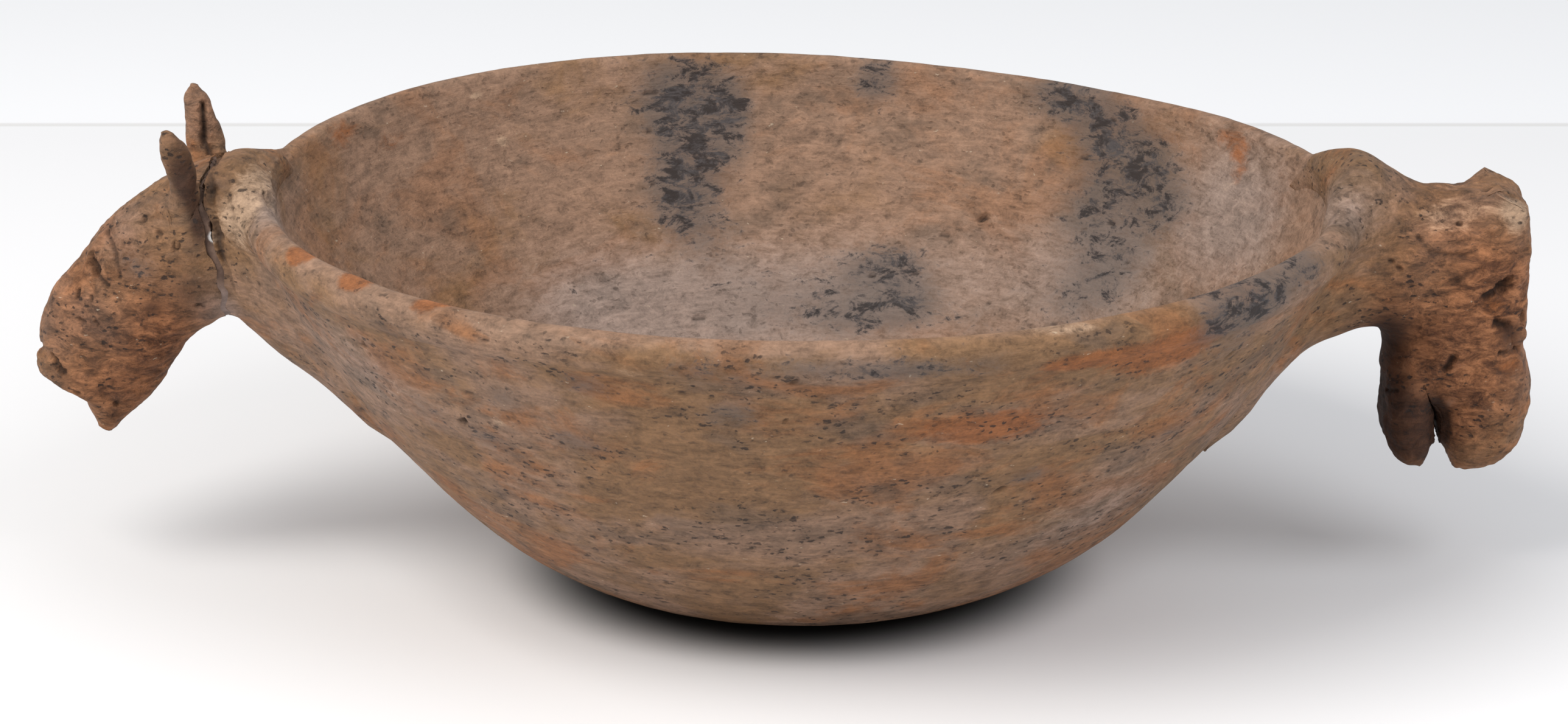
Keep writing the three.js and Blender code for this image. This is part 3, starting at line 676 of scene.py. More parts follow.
class Paint:
    """A socket of a material's nodes that can stand in plain arithmetic."""

    def __init__(self, tree, socket):
        self.tree, self.socket = tree, socket

    def node(self, kind, settings=None, sockets=None, output=0):
        """Adds a node: settings first, then the value or the link of each socket."""
        made = self.tree.nodes.new("ShaderNode" + kind)
        for key, value in (settings or {}).items():
            setattr(made, key, value)
        for key, value in (sockets or {}).items():
            socket = made.inputs[key]
            if isinstance(value, Paint):
                self.tree.links.new(value.socket, socket)
            else:
                socket.default_value = value
        return Paint(self.tree, made.outputs[output])

    def maths(self, operation, *values, clamp=False):
        return self.node("Math", {"operation": operation, "use_clamp": clamp},
                         dict(enumerate(values)))

    def __add__(self, other): return self.maths("ADD", self, other)
    def __radd__(self, other): return self.maths("ADD", other, self)
    def __sub__(self, other): return self.maths("SUBTRACT", self, other)
    def __rsub__(self, other): return self.maths("SUBTRACT", other, self)
    def __mul__(self, other): return self.maths("MULTIPLY", self, other)

    def between(self, low, high):
        """0 below low, 1 above high and a soft step between them."""
        return self.node("MapRange", {"interpolation_type": "SMOOTHSTEP"},
                         {"Value": self, "From Min": low, "From Max": high})

    def clipped(self):
        """The same number kept between 0 and 1."""
        return self.maths("ADD", self, 0.0, clamp=True)

    def mix(self, first, second):
        """The first colour where this is 0 and the second where it is 1."""
        return self.node("Mix", {"data_type": "RGBA"}, {0: self, 6: first, 7: second}, output=2)

    def lit(self, amount):
        """A colour made lighter or darker by a number."""
        return self.node("VectorMath", {"operation": "SCALE"}, {0: self, 3: amount})

    def scaled(self, amounts):
        """A place with each axis stretched by its own number."""
        return self.node("VectorMath", {"operation": "MULTIPLY"}, {0: self, 1: amounts})

    def grain(self, scale, detail=3.0, roughness=0.5, distortion=0.0):
        """Noise in space, about 0 to 1, with scale features to a metre."""
        return self.node("TexNoise", {"noise_dimensions": "3D"},
                         {"Vector": self, "Scale": scale, "Detail": detail,
                          "Roughness": roughness, "Distortion": distortion})

    def cells(self, scale):
        """Distance to the nearest of scattered points, with scale cells to a metre."""
        return self.node("TexVoronoi", {"voronoi_dimensions": "3D", "feature": "F1"},
                         {"Vector": self, "Scale": scale})

    def attribute(self, name):
        """A number that the mesh holds at each point."""
        return self.node("Attribute", {"attribute_type": "GEOMETRY", "attribute_name": name},
                         output=2)


def colour(red, green, blue):
    """A colour in linear light, as a node's socket takes it."""
    return (red, green, blue, 1.0)


# The fired clay's colours: the body's tan and pink, what the fire and wear turned it to, the
# grit and specks of its temper, and the soot on it.
TAN, PINK = colour(0.252, 0.138, 0.068), colour(0.306, 0.184, 0.120)
WARM, GREY_BROWN = colour(0.310, 0.128, 0.048), colour(0.155, 0.102, 0.070)
PINKISH_GREY = colour(0.320, 0.248, 0.212)
COARSE_LOW, COARSE_HIGH = colour(0.092, 0.031, 0.014), colour(0.370, 0.158, 0.070)
STRAW = colour(0.480, 0.325, 0.215)
ORANGE_BROWN = colour(0.318, 0.108, 0.032)
DARK_BROWN_AND_SHADE = colour(0.045, 0.019, 0.011)
GRIT_COLOUR, SPECK_COLOUR = colour(0.024, 0.015, 0.012), colour(0.500, 0.400, 0.290)
SOOT_HAZE = colour(0.104, 0.088, 0.080)
SOOT_THIN, SOOT_THICK = colour(0.062, 0.057, 0.060), colour(0.012, 0.010, 0.011)
PIT_SHADE_COLOUR = colour(0.030, 0.018, 0.013)
CLAY_SHINE = 0.25
RELIEF_DEPTH = 0.0009


def fired_clay(name, rough):
    """Burnished earthenware: pinkish tan to grey-brown clay mottled by the fire, with level
    smoothing streaks, soot, orange and pale stains, dark grit and pale specks, darker patches
    that are partly painted shade, and painted shade in pits and scratches. Rough raises
    the unevenness of the modelled heads."""
    material = bpy.data.materials.new(name)
    material.use_nodes = True
    tree = material.node_tree
    shader = tree.nodes["Principled BSDF"]
    start = Paint(tree, None)
    place = start.node("TexCoord", output=3)
    level = place.scaled((1.0, 1.0, 2.0))
    streaked = place.scaled((1.0, 1.0, 7.0))
    pinkness = level.grain(15.0, 5.0, 0.62, 0.6)
    warmth = level.grain(21.0, 5.0, 0.66, 0.9)
    greyness = level.grain(33.0, 4.0, 0.6, 0.3)
    mottled = level.grain(140.0, 6.0, 0.78, 0.5)
    wobble = place.node("TexNoise", {}, {"Vector": place, "Scale": 420.0, "Detail": 3.0}, output=1)
    ragged = level.node("VectorMath", {"operation": "MULTIPLY_ADD"}, {
        0: wobble, 1: (0.005, 0.005, 0.005), 2: level})
    flakes = level.grain(120.0, 7.0, 0.75, 0.8)
    streaks = streaked.grain(150.0, 5.0, 0.65)
    fine = place.grain(1100.0, 4.0, 0.65)
    grit = ragged.cells(300.0) + (mottled - 0.5) * 0.6
    specks = ragged.cells(190.0)
    soot, orange, pale, film, red, dark, hollow, inside = (
        start.attribute(key) for key in ("soot", "orange", "pale", "film", "red", "dark",
                                         "hollow", "inside"))
    blotch = mottled - 0.5
    body = (pinkness + inside * 0.11).between(0.42, 0.60).mix(TAN, PINK)
    body = (warmth.between(0.48, 0.64) * (0.80 - inside * 0.45)).mix(body, WARM)
    body = (greyness.between(0.50, 0.68) * 0.6).mix(body, GREY_BROWN)
    body = ((film + blotch * 0.7).between(0.15, 0.95) * 0.75).mix(body, PINKISH_GREY)
    coarse = mottled.between(0.30, 0.70).mix(COARSE_LOW, COARSE_HIGH)
    body = (red + blotch * 0.6 * red).clipped().mix(body, coarse)
    body = ((pale + blotch).between(0.40, 0.85) * 0.8).mix(body, STRAW)
    body = ((orange + (flakes - 0.5) * 1.1).between(0.40, 0.85) * 0.85).mix(body, ORANGE_BROWN)
    # Darker patches, partly darker clay and partly painted shade in crevices and under the ears and
    # jaws.
    body = ((dark + blotch * 0.9).between(0.25, 0.95) * 0.9).mix(body, DARK_BROWN_AND_SHADE)
    body = body.lit(0.74 + inside * 0.12 + rough * 0.07 + blotch * 1.9 + (streaks - 0.5) * 0.6
                    + (fine - 0.5) * 0.6)
    body = ((1 - grit.between(0.20, 0.36)) * greyness.between(0.42, 0.56)
            * flakes.between(0.42, 0.52) * (0.85 - inside * 0.5)).mix(body, GRIT_COLOUR)
    body = ((1 - specks.between(0.05, 0.11)) * streaks.between(0.50, 0.58) * 0.7).mix(
        body, SPECK_COLOUR)
    body = ((soot + blotch * 1.4).between(0.20, 0.85) * 0.62).mix(body, SOOT_HAZE)
    core = (soot * 0.56 + (flakes - 0.5) * 2.0 + blotch * 2.0).between(0.36, 0.72)
    body = (core * 0.88).mix(body, (core * mottled.between(0.42, 0.60)).mix(SOOT_THIN, SOOT_THICK))
    # Painted shade in pits, scratches and the break: the colour goes near black by the hollow.
    body = (hollow * 0.92).mix(body, PIT_SHADE_COLOUR)
    tree.links.new(body.socket, shader.inputs["Base Color"])
    shader.inputs["Specular IOR Level"].default_value = CLAY_SHINE
    dull = 0.66 + (fine - 0.5) * 0.25 + red * 0.12 - (streaks - 0.5) * 0.20 + blotch * 0.15
    tree.links.new(dull.clipped().socket, shader.inputs["Roughness"])
    relief = (streaks * (0.42 - 0.30 * rough) + fine * (0.20 + 0.15 * rough)
              + mottled * (0.45 + 0.55 * rough) - (1 - grit.between(0.08, 0.30)) * 0.16
              - core * 0.10)
    bump = relief.node("Bump", {}, {"Strength": 0.75 + 0.25 * rough, "Distance": RELIEF_DEPTH,
                                    "Height": relief})
    tree.links.new(bump.socket, shader.inputs["Normal"])
    return material


body_clay = fired_clay("body_clay", 0.0)


FAR_HALF = 20


def clay_marks(points, hollow, inside=0.0):
    """The stains of the clay at the points, the darker patches that are partly painted shade,
    the hollow that sets the painted shade of pits, and whether they are inside the bowl. In the
    far half of the bowl, soot and film lie on the inner skin and hardly show on the outer one."""
    inside = np.zeros(hollow.shape) + inside
    far = points[..., 1] > FAR_HALF
    soot = stained(points, SOOT) * np.where(far, 0.15 + 0.85 * inside, 1.0)
    return {"soot": np.minimum(soot, 1.15), "orange": stained(points, ORANGE),
            "pale": stained(points, PALE), "red": np.clip(stained(points, RED), 0, 1),
            "dark": np.clip(stained(points, DARK_CLAY_AND_SHADE), 0, 1),
            "film": stained(points, FILM) * np.where(far, inside, 1.0),
            "hollow": hollow, "inside": inside}


SCARF_ROWS = 6


def scarf(start, end):
    """Rows of points straight across the clay, from one row of the skin to another."""
    share = np.linspace(0, 1, SCARF_ROWS + 2)[1:-1][:, None, None]
    return start + (end - start) * share


def bowl_ring(node, outer, inner):
    """A ring of the wall: the outer skin between two seams, the inner skin between two seams,
    and straight scarf faces across the clay between them."""
    up = scarf(bowl_skin[outer[-1]], bowl_skin[inner[0]])
    down = scarf(bowl_skin[inner[-1]], bowl_skin[outer[0]])
    plain = np.zeros(up.shape)
    points = np.concatenate([bowl_skin[outer], up, bowl_skin[inner], down])
    facing_out = np.concatenate([bowl_normals[outer], plain, bowl_normals[inner], plain])
    hollow = np.concatenate([bowl_hollow[outer], plain[..., 0], bowl_hollow[inner], plain[..., 0]])
    within = np.zeros(hollow.shape)
    within[len(outer) + SCARF_ROWS:][:len(inner)] = 1.0
    put_piece(node, points.reshape(-1, 3), ring_faces(len(points), AROUND, True),
              body_clay, clay_marks(points, hollow, within), facing_out.reshape(-1, 3))


def rows_between(first, last):
    """The rows of the bowl's skin from one seam to another."""
    return np.arange(seam_rows[first], seam_rows[last] + 1)


# The three wall coils: rings of fired clay, each lapped on the one below by its scarf and wiped
# smooth on both sides while damp.
for coil in range(COILS):
    bowl_ring(f"wall_coil_{coil + 1}", rows_between(coil + 1, coil + 2),
              rows_between(2 * COILS + 1 - coil, 2 * COILS + 2 - coil))

# The rim coil: a thickened, rounded lip of the same clay. It is the skin over the lip, closed
# by its scarf face on the wall, and turns from outside to inside over its top.
lip_rows = rows_between(COILS + 1, COILS + 2)
back = scarf(bowl_skin[lip_rows[-1]], bowl_skin[lip_rows[0]])
points = np.concatenate([bowl_skin[lip_rows], back])
hollow = np.concatenate([bowl_hollow[lip_rows], np.zeros(back.shape[:2])])
within = np.zeros(hollow.shape)
within[:len(lip_rows)] = np.clip(np.linspace(-1.5, 3.5, len(lip_rows)), 0, 1)[:, None]
facing_out = np.concatenate([bowl_normals[lip_rows], np.zeros(back.shape)])
put_piece("rim_coil", points.reshape(-1, 3), ring_faces(len(points), AROUND, True),
          body_clay, clay_marks(points, hollow, within), facing_out.reshape(-1, 3))

# The base: the flat foot, the first part of the wall and the floor, shaped from one lump of the
# same clay. It has every second column of the skin, and a point in the middle of each end.
outer, inner = rows_between(0, 1)[1:], rows_between(2 * COILS + 2, 2 * COILS + 3)[:-1]
half_skin = bowl_skin[:, ::2]
across = scarf(half_skin[outer[-1]], half_skin[inner[0]])
points = np.concatenate([half_skin[outer], across, half_skin[inner]])
hollow = np.concatenate([bowl_hollow[outer, ::2], np.zeros(across.shape[:2]),
                         bowl_hollow[inner, ::2]])
within = np.zeros(hollow.shape)
within[len(outer) + SCARF_ROWS:] = 1.0
marks = clay_marks(points, hollow, within)
facing_out = np.concatenate([bowl_normals[outer, ::2], np.zeros(across.shape),
                             bowl_normals[inner, ::2]])
ends = np.array([[0, 0, 0], [0, 0, bowl_skin[-1, 0, 2]]])
put_piece("base", np.vstack([points.reshape(-1, 3), ends]),
          capped_faces(len(points), AROUND // 2), body_clay,
          {key: np.append(value.ravel(), value.ravel()[[0, -1]]) for key, value in marks.items()},
          np.vstack([facing_out.reshape(-1, 3), [[0, 0, 0], [0, 0, 0]]]))


def loft(lines, around):
    """Rings of clay between two edge lines: round the middle of the line between the edges, a
    point is at the half line times the cosine and the half width times the sine, each raised
    to 2 over the power to fill out the corners."""
    angle = np.linspace(0, 2 * math.pi, around, endpoint=False)
    power = np.where(np.cos(angle) > 0, ROUND_POWER, lines[:, 6:7])
    bent = [np.sign(v) * np.abs(v) ** (2 / power) for v in (np.cos(angle), np.sin(angle))]
    middles, halves = (lines[:, :2] + lines[:, 2:4]) / 2, (lines[:, :2] - lines[:, 2:4]) / 2
    rings = np.empty((len(lines), around, 3))
    rings[..., 0] = middles[:, :1] + halves[:, :1] * bent[0]
    rings[..., 2] = middles[:, 1:] + halves[:, 1:] * bent[0]
    rings[..., 1] = lines[:, 5:6] + lines[:, 4:5] * bent[1]
    return rings


FINE_ROWS = 3000


def spaced_lines(rows, spacing):
    """Edge rows at even steps: the steps are measured on whichever edge is longer there. Also
    gives the place of each given row in the new ones."""
    fine_places = np.linspace(0, 1, FINE_ROWS)
    fine = smooth_through(rows, fine_places)
    steps = np.maximum(np.linalg.norm(np.diff(fine[:, :2], axis=0), axis=1),
                       np.linalg.norm(np.diff(fine[:, 2:4], axis=0), axis=1))
    length = np.concatenate([[0], np.cumsum(steps)])
    count = int(length[-1] / spacing)
    at = np.interp(np.linspace(0, length[-1], count + 1), length, fine_places)
    places = np.interp(np.linspace(0, 1, len(rows)), at, np.arange(count + 1))
    return smooth_through(rows, at), places


DOME_STEPS = 6


def rounded_end(rings, depth):
    """More rings that close the last ring as a low dome: each is drawn in by the cosine of an
    angle and goes out by its sine times the depth, along the way the rings were going."""
    last = rings[-1]
    middle = last.mean(0)
    way = middle - rings[-3].mean(0)
    way /= np.linalg.norm(way)
    angle = np.linspace(0, math.pi / 2, DOME_STEPS + 1)[1:-1][:, None, None]
    return np.concatenate([rings, middle + (last - middle) * np.cos(angle)
                           + way * depth * np.sin(angle)])


def put_rings(node, rings, material, marks, normals):
    """A closed piece from rings, with a fan over each end."""
    ends = np.stack([rings[0].mean(0), rings[-1].mean(0)])
    values = {key: np.append(value.ravel(), [value[0].mean(), value[-1].mean()])
              for key, value in marks.items()}
    put_piece(node, np.vstack([rings.reshape(-1, 3), ends]), capped_faces(*rings.shape[:2]),
              material, values, np.vstack([normals.reshape(-1, 3), np.zeros((2, 3))]))


def rough(points):
    """More unevenness where the clay of the heads is coarse, over the smoothed skin's own."""
    return (0.62 * clay_noise(points, 13.0, 20) + 0.40 * clay_noise(points, 6.0, 21)
            + 0.22 * clay_noise(points, 2.8, 22) + 0.13 * clay_noise(points, 1.4, 23) - 0.45)


head_clay = fired_clay("head_clay", 1.0)

# The lumps luted on the heads: two pinched ears on the left crown, a lobe for the right lower
# jaw, and two stumps on the right crown where ears snapped off. Each row is a level: front edge
# [out, up], back edge [out, up], half width, middle across, and for the jaw the back's power.
NEAR_EAR = [(10.4, 2.0, 6.0, 2.0, 2.6, -19.2), (10.5, 9.9, 4.4, 9.9, 3.4, -18.8),
            (11.2, 17.9, 2.6, 17.9, 4.2, -19.0), (12.2, 25.4, 2.4, 25.4, 4.2, -20.3),
            (12.7, 30.6, 4.0, 30.6, 3.9, -21.3), (12.6, 33.4, 5.4, 33.4, 3.4, -21.8),
            (12.2, 35.3, 7.2, 35.3, 2.5, -22.0)]
FAR_EAR = [(9.6, 5.0, 0.5, 5.0, 3.0, 16.0), (10.2, 9.9, -0.9, 9.9, 3.2, 16.8),
           (11.1, 17.9, -1.9, 17.9, 4.4, 19.0), (11.3, 23.9, -1.2, 23.9, 4.5, 20.5),
           (11.2, 29.9, 1.1, 29.9, 4.2, 21.3), (10.8, 34.6, 2.9, 34.6, 3.6, 21.9),
           (10.1, 37.2, 4.4, 37.2, 2.8, 22.0), (9.5, 38.4, 5.4, 38.4, 2.2, 22.0)]
RIGHT_JAW = [(-1.0, -25.0, 8.0, -28.0, 15.5, 0, 2.6), (-2.6, -33.0, 10.0, -35.0, 18.8, 0, 2.6),
             (-3.4, -38.5, 11.6, -40.0, 19.0, 0, 2.6), (-3.7, -44.0, 12.6, -45.4, 18.9, 0, 2.5),
             (-3.8, -49.6, 12.9, -50.6, 18.3, 0, 2.5), (-2.9, -53.6, 12.6, -55.0, 17.4, 0, 2.6),
             (-1.2, -57.2, 11.4, -58.6, 16, 0, 3), (1.2, -59.9, 10.6, -60.9, 13.5, 0, 3),
             (3.8, -61.6, 9.8, -62.2, 10, 0, 3)]
STUMP = [(17.0, 2.0, 32.0, 0.0, 4.2, 12), (18.5, 8, 36.6, 4, 4.6, 12),
         (20.6, 15.8, 36.3, 11.0, 4.6, 12), (25.9, 22.2, 35.2, 16.6, 3.8, 12)]


def growth_rows(side, face, rows, across=1):
    """Edge rows of a lump on a head, from rows measured from the middle of its face."""
    return np.array([(side * (face[0] + a), face[1] + b, side * (face[0] + c), face[1] + d,
                      half, across * middle, *(square or [ROUND_POWER]))
                     for a, b, c, d, half, middle, *square in rows], float)


GROWTH_LINES = 60


def gap_to_rows(rows):
    """Gives the function that measures the gap to a loft of these rows."""
    return gap_to(smooth_through(rows, np.linspace(0, 1, GROWTH_LINES)), wrap=False)


near_ear_rows = growth_rows(-1, LEFT_FACE, NEAR_EAR)
far_ear_rows = growth_rows(-1, LEFT_FACE, FAR_EAR)
right_jaw_rows = growth_rows(1, RIGHT_FACE, RIGHT_JAW)
near_stump_rows = growth_rows(1, RIGHT_FACE, STUMP, -1)
far_stump_rows = growth_rows(1, RIGHT_FACE, STUMP)
EAR_REACH, RIGHT_JAW_REACH, STUMP_REACH = 6.0, 4.0, 7.0


def mirrored(marks):
    """The same marks on the far side."""
    return [(x1, -y1, z1, x2, -y2, z2, half, deep) for x1, y1, z1, x2, y2, z2, half, deep in marks]


# Both ends are one skin each, cut into neck and head where those meet. Their marks, pits and
# scratches in the clay, have two ends, a half width and a depth.
LEFT_FACE_MARKS = [
    (-203.3, -10.5, 95.9, -198.6, -13.2, 91.0, 2.5, 3.2),
    (-198.6, -13.5, 91.0, -196.0, -17.6, 88.0, 0.9, 0.9),
    (-198.0, -8.5, 102.5, -195.0, -14.5, 99.8, 1.1, 0.8),
    (-195.0, -14.5, 99.8, -193.4, -16.8, 97.0, 1.2, 0.9),
    (-193.4, -16.8, 97.0, -192.0, -19.2, 91.0, 1.1, 0.7),
]
LEFT_PITS = [
    (-185.6, -14.9, 107.6, -184.8, -15.5, 107.0, 1.3, 1.1),
    (-180.9, -20.1, 104.6, -180.2, -20.4, 104.0, 1.2, 1.0),
    (-175.9, -22.7, 101.3, -175.5, -22.7, 100.3, 1.8, 1.6),
    (-205.2, -13.3, 85.8, -205.4, -13.3, 83.4, 1.0, 1.1),
    (-201.3, -16.1, 84.3, -201.1, -16.1, 83.6, 1.0, 0.9),
    (-204.6, -15.4, 77.6, -203.6, -15.9, 76.9, 1.1, 0.9),
    (-199.9, -17.4, 77.2, -199.2, -17.4, 76.6, 0.9, 0.8),
    (-213.4, -10.3, 64.9, -210.3, -12.0, 60.6, 1.3, 1.7),
    (-217.4, -7.0, 66.6, -217.4, 7.0, 66.6, 1.3, 0.9),
    (-206.5, -13.0, 54.2, -206.8, 13.0, 54.2, 1.5, 1.1),
    (-171.7, -20.8, 83.3, -171.0, -20.9, 83.0, 1.0, 0.8),
    (-195.8, -11.0, 50.8, -194.8, -11.8, 49.6, 1.2, 1.0),
]
LEFT_BREAK = [
    (-167.6, 0, 121.5, -166.6, -15.8, 117.0, 2.0, 1.6),
    (-166.6, -15.8, 117.0, -165.4, -22.7, 104.0, 2.3, 2.2),
    (-165.4, -22.7, 104.0, -164.7, -23.2, 97.0, 1.6, 1.4),
    (-164.7, -23.2, 97.0, -163.6, -22.9, 87.0, 1.0, 0.45),
]
LEFT_NECK_PITS = [
    (-150.2, -48.4, 110.0, -148.2, -46.0, 113.6, 1.7, 2.6),
    (-148.6, -47.0, 112.6, -147.4, -39.3, 114.6, 1.0, 1.4),
    (-150.1, -20.4, 116.8, -150.5, -30.0, 115.0, 0.7, 0.8),
    (-153.0, -44.0, 106.0, -150.5, -47.0, 109.5, 0.7, 0.9),
    (-158.0, -28.0, 106.0, -157.0, -30.0, 104.5, 0.8, 0.8),
    (-160.0, -24.0, 113.0, -158.0, -26.0, 112.0, 0.8, 0.8),
]
LEFT_MARKS = (LEFT_FACE_MARKS + LEFT_PITS + mirrored(LEFT_FACE_MARKS + LEFT_BREAK) + LEFT_BREAK
              + LEFT_NECK_PITS)
RIGHT_FACE_MARKS = [
    (192.0, -17.6, 84.9, 196.4, -15.2, 87.4, 1.8, 2.2),
    (196.4, -15.2, 87.0, 198.0, -14.3, 88.6, 2.9, 3.6),
    (203.7, -12.0, 77.6, 204.2, -11.6, 77.3, 1.7, 2.2),
    (196.4, -17.4, 77.0, 199.2, -16.0, 75.6, 2.2, 2.4),
]
RIGHT_PITS = [
    (197.8, -16.9, 67.6, 205.4, -12.0, 68.4, 1.1, 1.2),
    (183.9, -18.7, 66.9, 182.2, -18.7, 63.4, 1.7, 2.2),
    (205.0, -12.5, 73.5, 203.5, -14.0, 68.5, 1.3, 1.2),
    (190.0, -18.0, 93.5, 184.0, -19.0, 90.0, 1.6, 0.7),
    (176.0, -20.0, 98.5, 186.0, -18.5, 97.0, 1.2, 0.6),
    (184.0, -16.0, 106.2, 184.6, -15.9, 105.8, 1.1, 1.0),
    (172.8, -19.8, 102.8, 173.4, -19.8, 102.4, 1.2, 1.0),
    (164.4, -22.6, 97.0, 164.8, -22.6, 96.6, 1.0, 0.9),
    (166.9, -22.2, 94.8, 167.4, -22.2, 94.5, 1.0, 0.9),
    (192.5, -3.5, 113.0, 200.0, 1.5, 112.5, 0.9, 1.0),
]
RIGHT_MARKS = RIGHT_FACE_MARKS + RIGHT_PITS + mirrored(RIGHT_FACE_MARKS)

# Places where the burnished skin has worn off and the clay is fibrous, given as stains are
WORN = [
    (-154, -26, 110, 11, 15, 10, 1.0), (-152, 0, 120, 10, 20, 6, 0.5),
    (184, -17, 106, 18, 12, 7, 1.0), (172, -18, 50, 9, 12, 16, 0.5),
    (192, 0, 112, 20, 26, 6, 1.0), (196, -16, 90, 14, 9, 14, 0.6), (186, -18, 50, 16, 12, 22, 0.45),
]
END_STEP = 0.6
END_AROUND = 400
ROOT_RINGS = 12
HEAD_FROM, HEAD_FADE = 166, 12
END_DOME = 1.2
FIBRE_DEPTH = 0.42
ROOT_MARGIN, ROOT_EASE, ROOT_TOP = 1.1, 103, 108


def end_skin(rows, marks, growths):
    """The skin of a neck and head: rings that close the root inside the wall, the loft bent
    round the wall, smeared on the bowl and up to each growth on it, then worked and pitted.
    The root stays outside the wall's inner skin, up to the lip."""
    spaced, places = spaced_lines(rows, END_STEP)
    rings = loft(spaced, END_AROUND)
    share = np.linspace(0, 1, ROOT_RINGS + 2)[1:-1][:, None, None]
    middle = rings[0].mean(0)
    rings = wrapped(np.concatenate([middle + (rings[0] - middle) * share, rings]))
    normals = facing_away(rings)[ROOT_RINGS:]
    rings[ROOT_RINGS:] = smeared(rings[ROOT_RINGS:], normals, gap_to_bowl, neck_reach)
    for growth, reach in growths:
        rings = smeared(rings, facing_away(rings), growth, reach)
    rings = rounded_end(rings, END_DOME)
    normals = facing_away(rings)
    depth, hollow = pressed(rings, marks)
    coarse = np.clip((np.abs(rings[..., 0]) - HEAD_FROM) / HEAD_FADE, 0, 1)
    worn = np.clip(stained(rings, WORN), 0, 1)
    drawn = rings * (0.3, 0.3, 1.0)
    fibrous = clay_noise(drawn, 1.9, 51) + 0.6 * clay_noise(drawn, 0.9, 52)
    rings = rings + normals * (worked(rings) + np.maximum(coarse, worn) * rough(rings) - depth
                               + worn * FIBRE_DEPTH * fibrous)[..., None]
    height = rings[..., 2] - sway(np.arctan2(rings[..., 1], rings[..., 0]), rings[..., 2])
    far = np.hypot(rings[..., 0], rings[..., 1])
    least = (np.interp(height, inner_skin[:, 1], inner_skin[:, 0]) + ROOT_MARGIN
             - np.clip(height - ROOT_EASE, 0, ROOT_TOP - ROOT_EASE))
    rings[..., :2] *= (np.maximum(far, np.where(height < ROOT_TOP, least, 0)) / far)[..., None]
    return rings, facing_away(rings), hollow, places + ROOT_RINGS


def put_end(node, skin, normals, hollow, rows, material):
    """One stretch of an end's skin as a closed piece."""
    put_rings(node, skin[rows], material, clay_marks(skin[rows], hollow[rows]),
              normals[rows])


left_skin, left_normals, left_hollow, left_places = end_skin(
    left_rows, LEFT_MARKS,
    [(gap_to_rows(near_ear_rows), EAR_REACH), (gap_to_rows(far_ear_rows), EAR_REACH)])
right_skin, right_normals, right_hollow, right_places = end_skin(
    right_rows, RIGHT_MARKS,
    [(gap_to_rows(right_jaw_rows), RIGHT_JAW_REACH), (gap_to_rows(near_stump_rows), STUMP_REACH),
     (gap_to_rows(far_stump_rows), STUMP_REACH)])
left_face = int(round(left_places[len(LEFT_NECK) - 1]))
right_face = int(round(right_places[len(RIGHT_NECK) - 1]))

# The left neck and head: one bent member of clay that broke behind the crown. The break wanders,
# lies nearer to the bowl low down, and leaves MEND_RINGS steps of the skin for the filler.
MEND_RINGS = 3
JAW_THICKNESS = 1.2
UNDER_JAW = 2.0
off_break = np.exp(-((np.arange(len(left_skin)) - left_face - 1.5) / 15) ** 2)[:, None]
wander = (1.0 + 2.2 * np.clip((112 - left_skin[..., 2]) / 20, 0, 1)
          + 1.3 * clay_noise(left_skin, 7.0, 41) + 0.5 * clay_noise(left_skin, 2.5, 42))
left_skin[..., 0] += wander * off_break
left_normals = facing_away(left_skin)
put_end("left_neck", left_skin, left_normals, left_hollow, np.arange(0, left_face + 1),
        body_clay)
JAW_START, JAW_TURN = 4, (120, 280)
jaw_rows = np.arange(int(left_places[len(LEFT_NECK) + JAW_START]), int(left_places[-1]) + 1)
jaw_columns = np.arange(JAW_TURN[0], JAW_TURN[1] + 1)
jaw_place = np.ix_(jaw_rows, jaw_columns)
jaw = left_skin[jaw_place]
jaw_inside = jaw - left_normals[jaw_place] * JAW_THICKNESS
under_jaw = np.ix_(jaw_rows[1:-1], jaw_columns[1:-1])
left_skin[under_jaw] -= left_normals[under_jaw] * UNDER_JAW
put_end("left_head", left_skin, left_normals, left_hollow,
        np.arange(left_face + MEND_RINGS, len(left_skin)), head_clay)

# The left jaw: the wedge of clay under the muzzle, from the throat to the chin. It is a patch of
# the head's own skin with a second sheet inside it, joined along all four borders.
rows, columns = jaw.shape[:2]
sheet = np.arange(rows * columns).reshape(rows, columns)
grid = np.stack([sheet[:-1, :-1], sheet[:-1, 1:], sheet[1:, 1:], sheet[1:, :-1]], -1)
grid = grid.reshape(-1, 4)
border = np.concatenate([sheet[0, :-1], sheet[:-1, -1], sheet[-1, :0:-1], sheet[:0:-1, 0]])
wall_faces = np.stack([np.roll(border, -1), border, border + rows * columns,
                       np.roll(border, -1) + rows * columns], -1)
marks = clay_marks(np.concatenate([jaw, jaw_inside]),
                   np.concatenate([left_hollow[jaw_place], np.zeros((rows, columns))]))
facing_out = np.concatenate([left_normals[jaw_place], np.zeros(jaw.shape)])
put_piece("left_jaw", np.concatenate([jaw, jaw_inside]).reshape(-1, 3),
          np.vstack([grid, grid[:, ::-1] + rows * columns, wall_faces]), head_clay,
          marks, facing_out.reshape(-1, 3))

# The right neck and head: one bent member of clay, luted on the wall, that hangs straight down.
# No break shows in it, so its skin is only cut into the two pieces.
put_end("right_neck", right_skin, right_normals, right_hollow, np.arange(0, right_face + 1),
        body_clay)
put_end("right_head", right_skin, right_normals, right_hollow,
        np.arange(right_face, len(right_skin)), head_clay)

# The ears, the right jaw and the ear stumps: lumps of the same coarse clay, each pressed on its
# head and wiped down, with a rounded free end.
GROWTH_STEP = 0.4
GROWTH_AROUND = 160


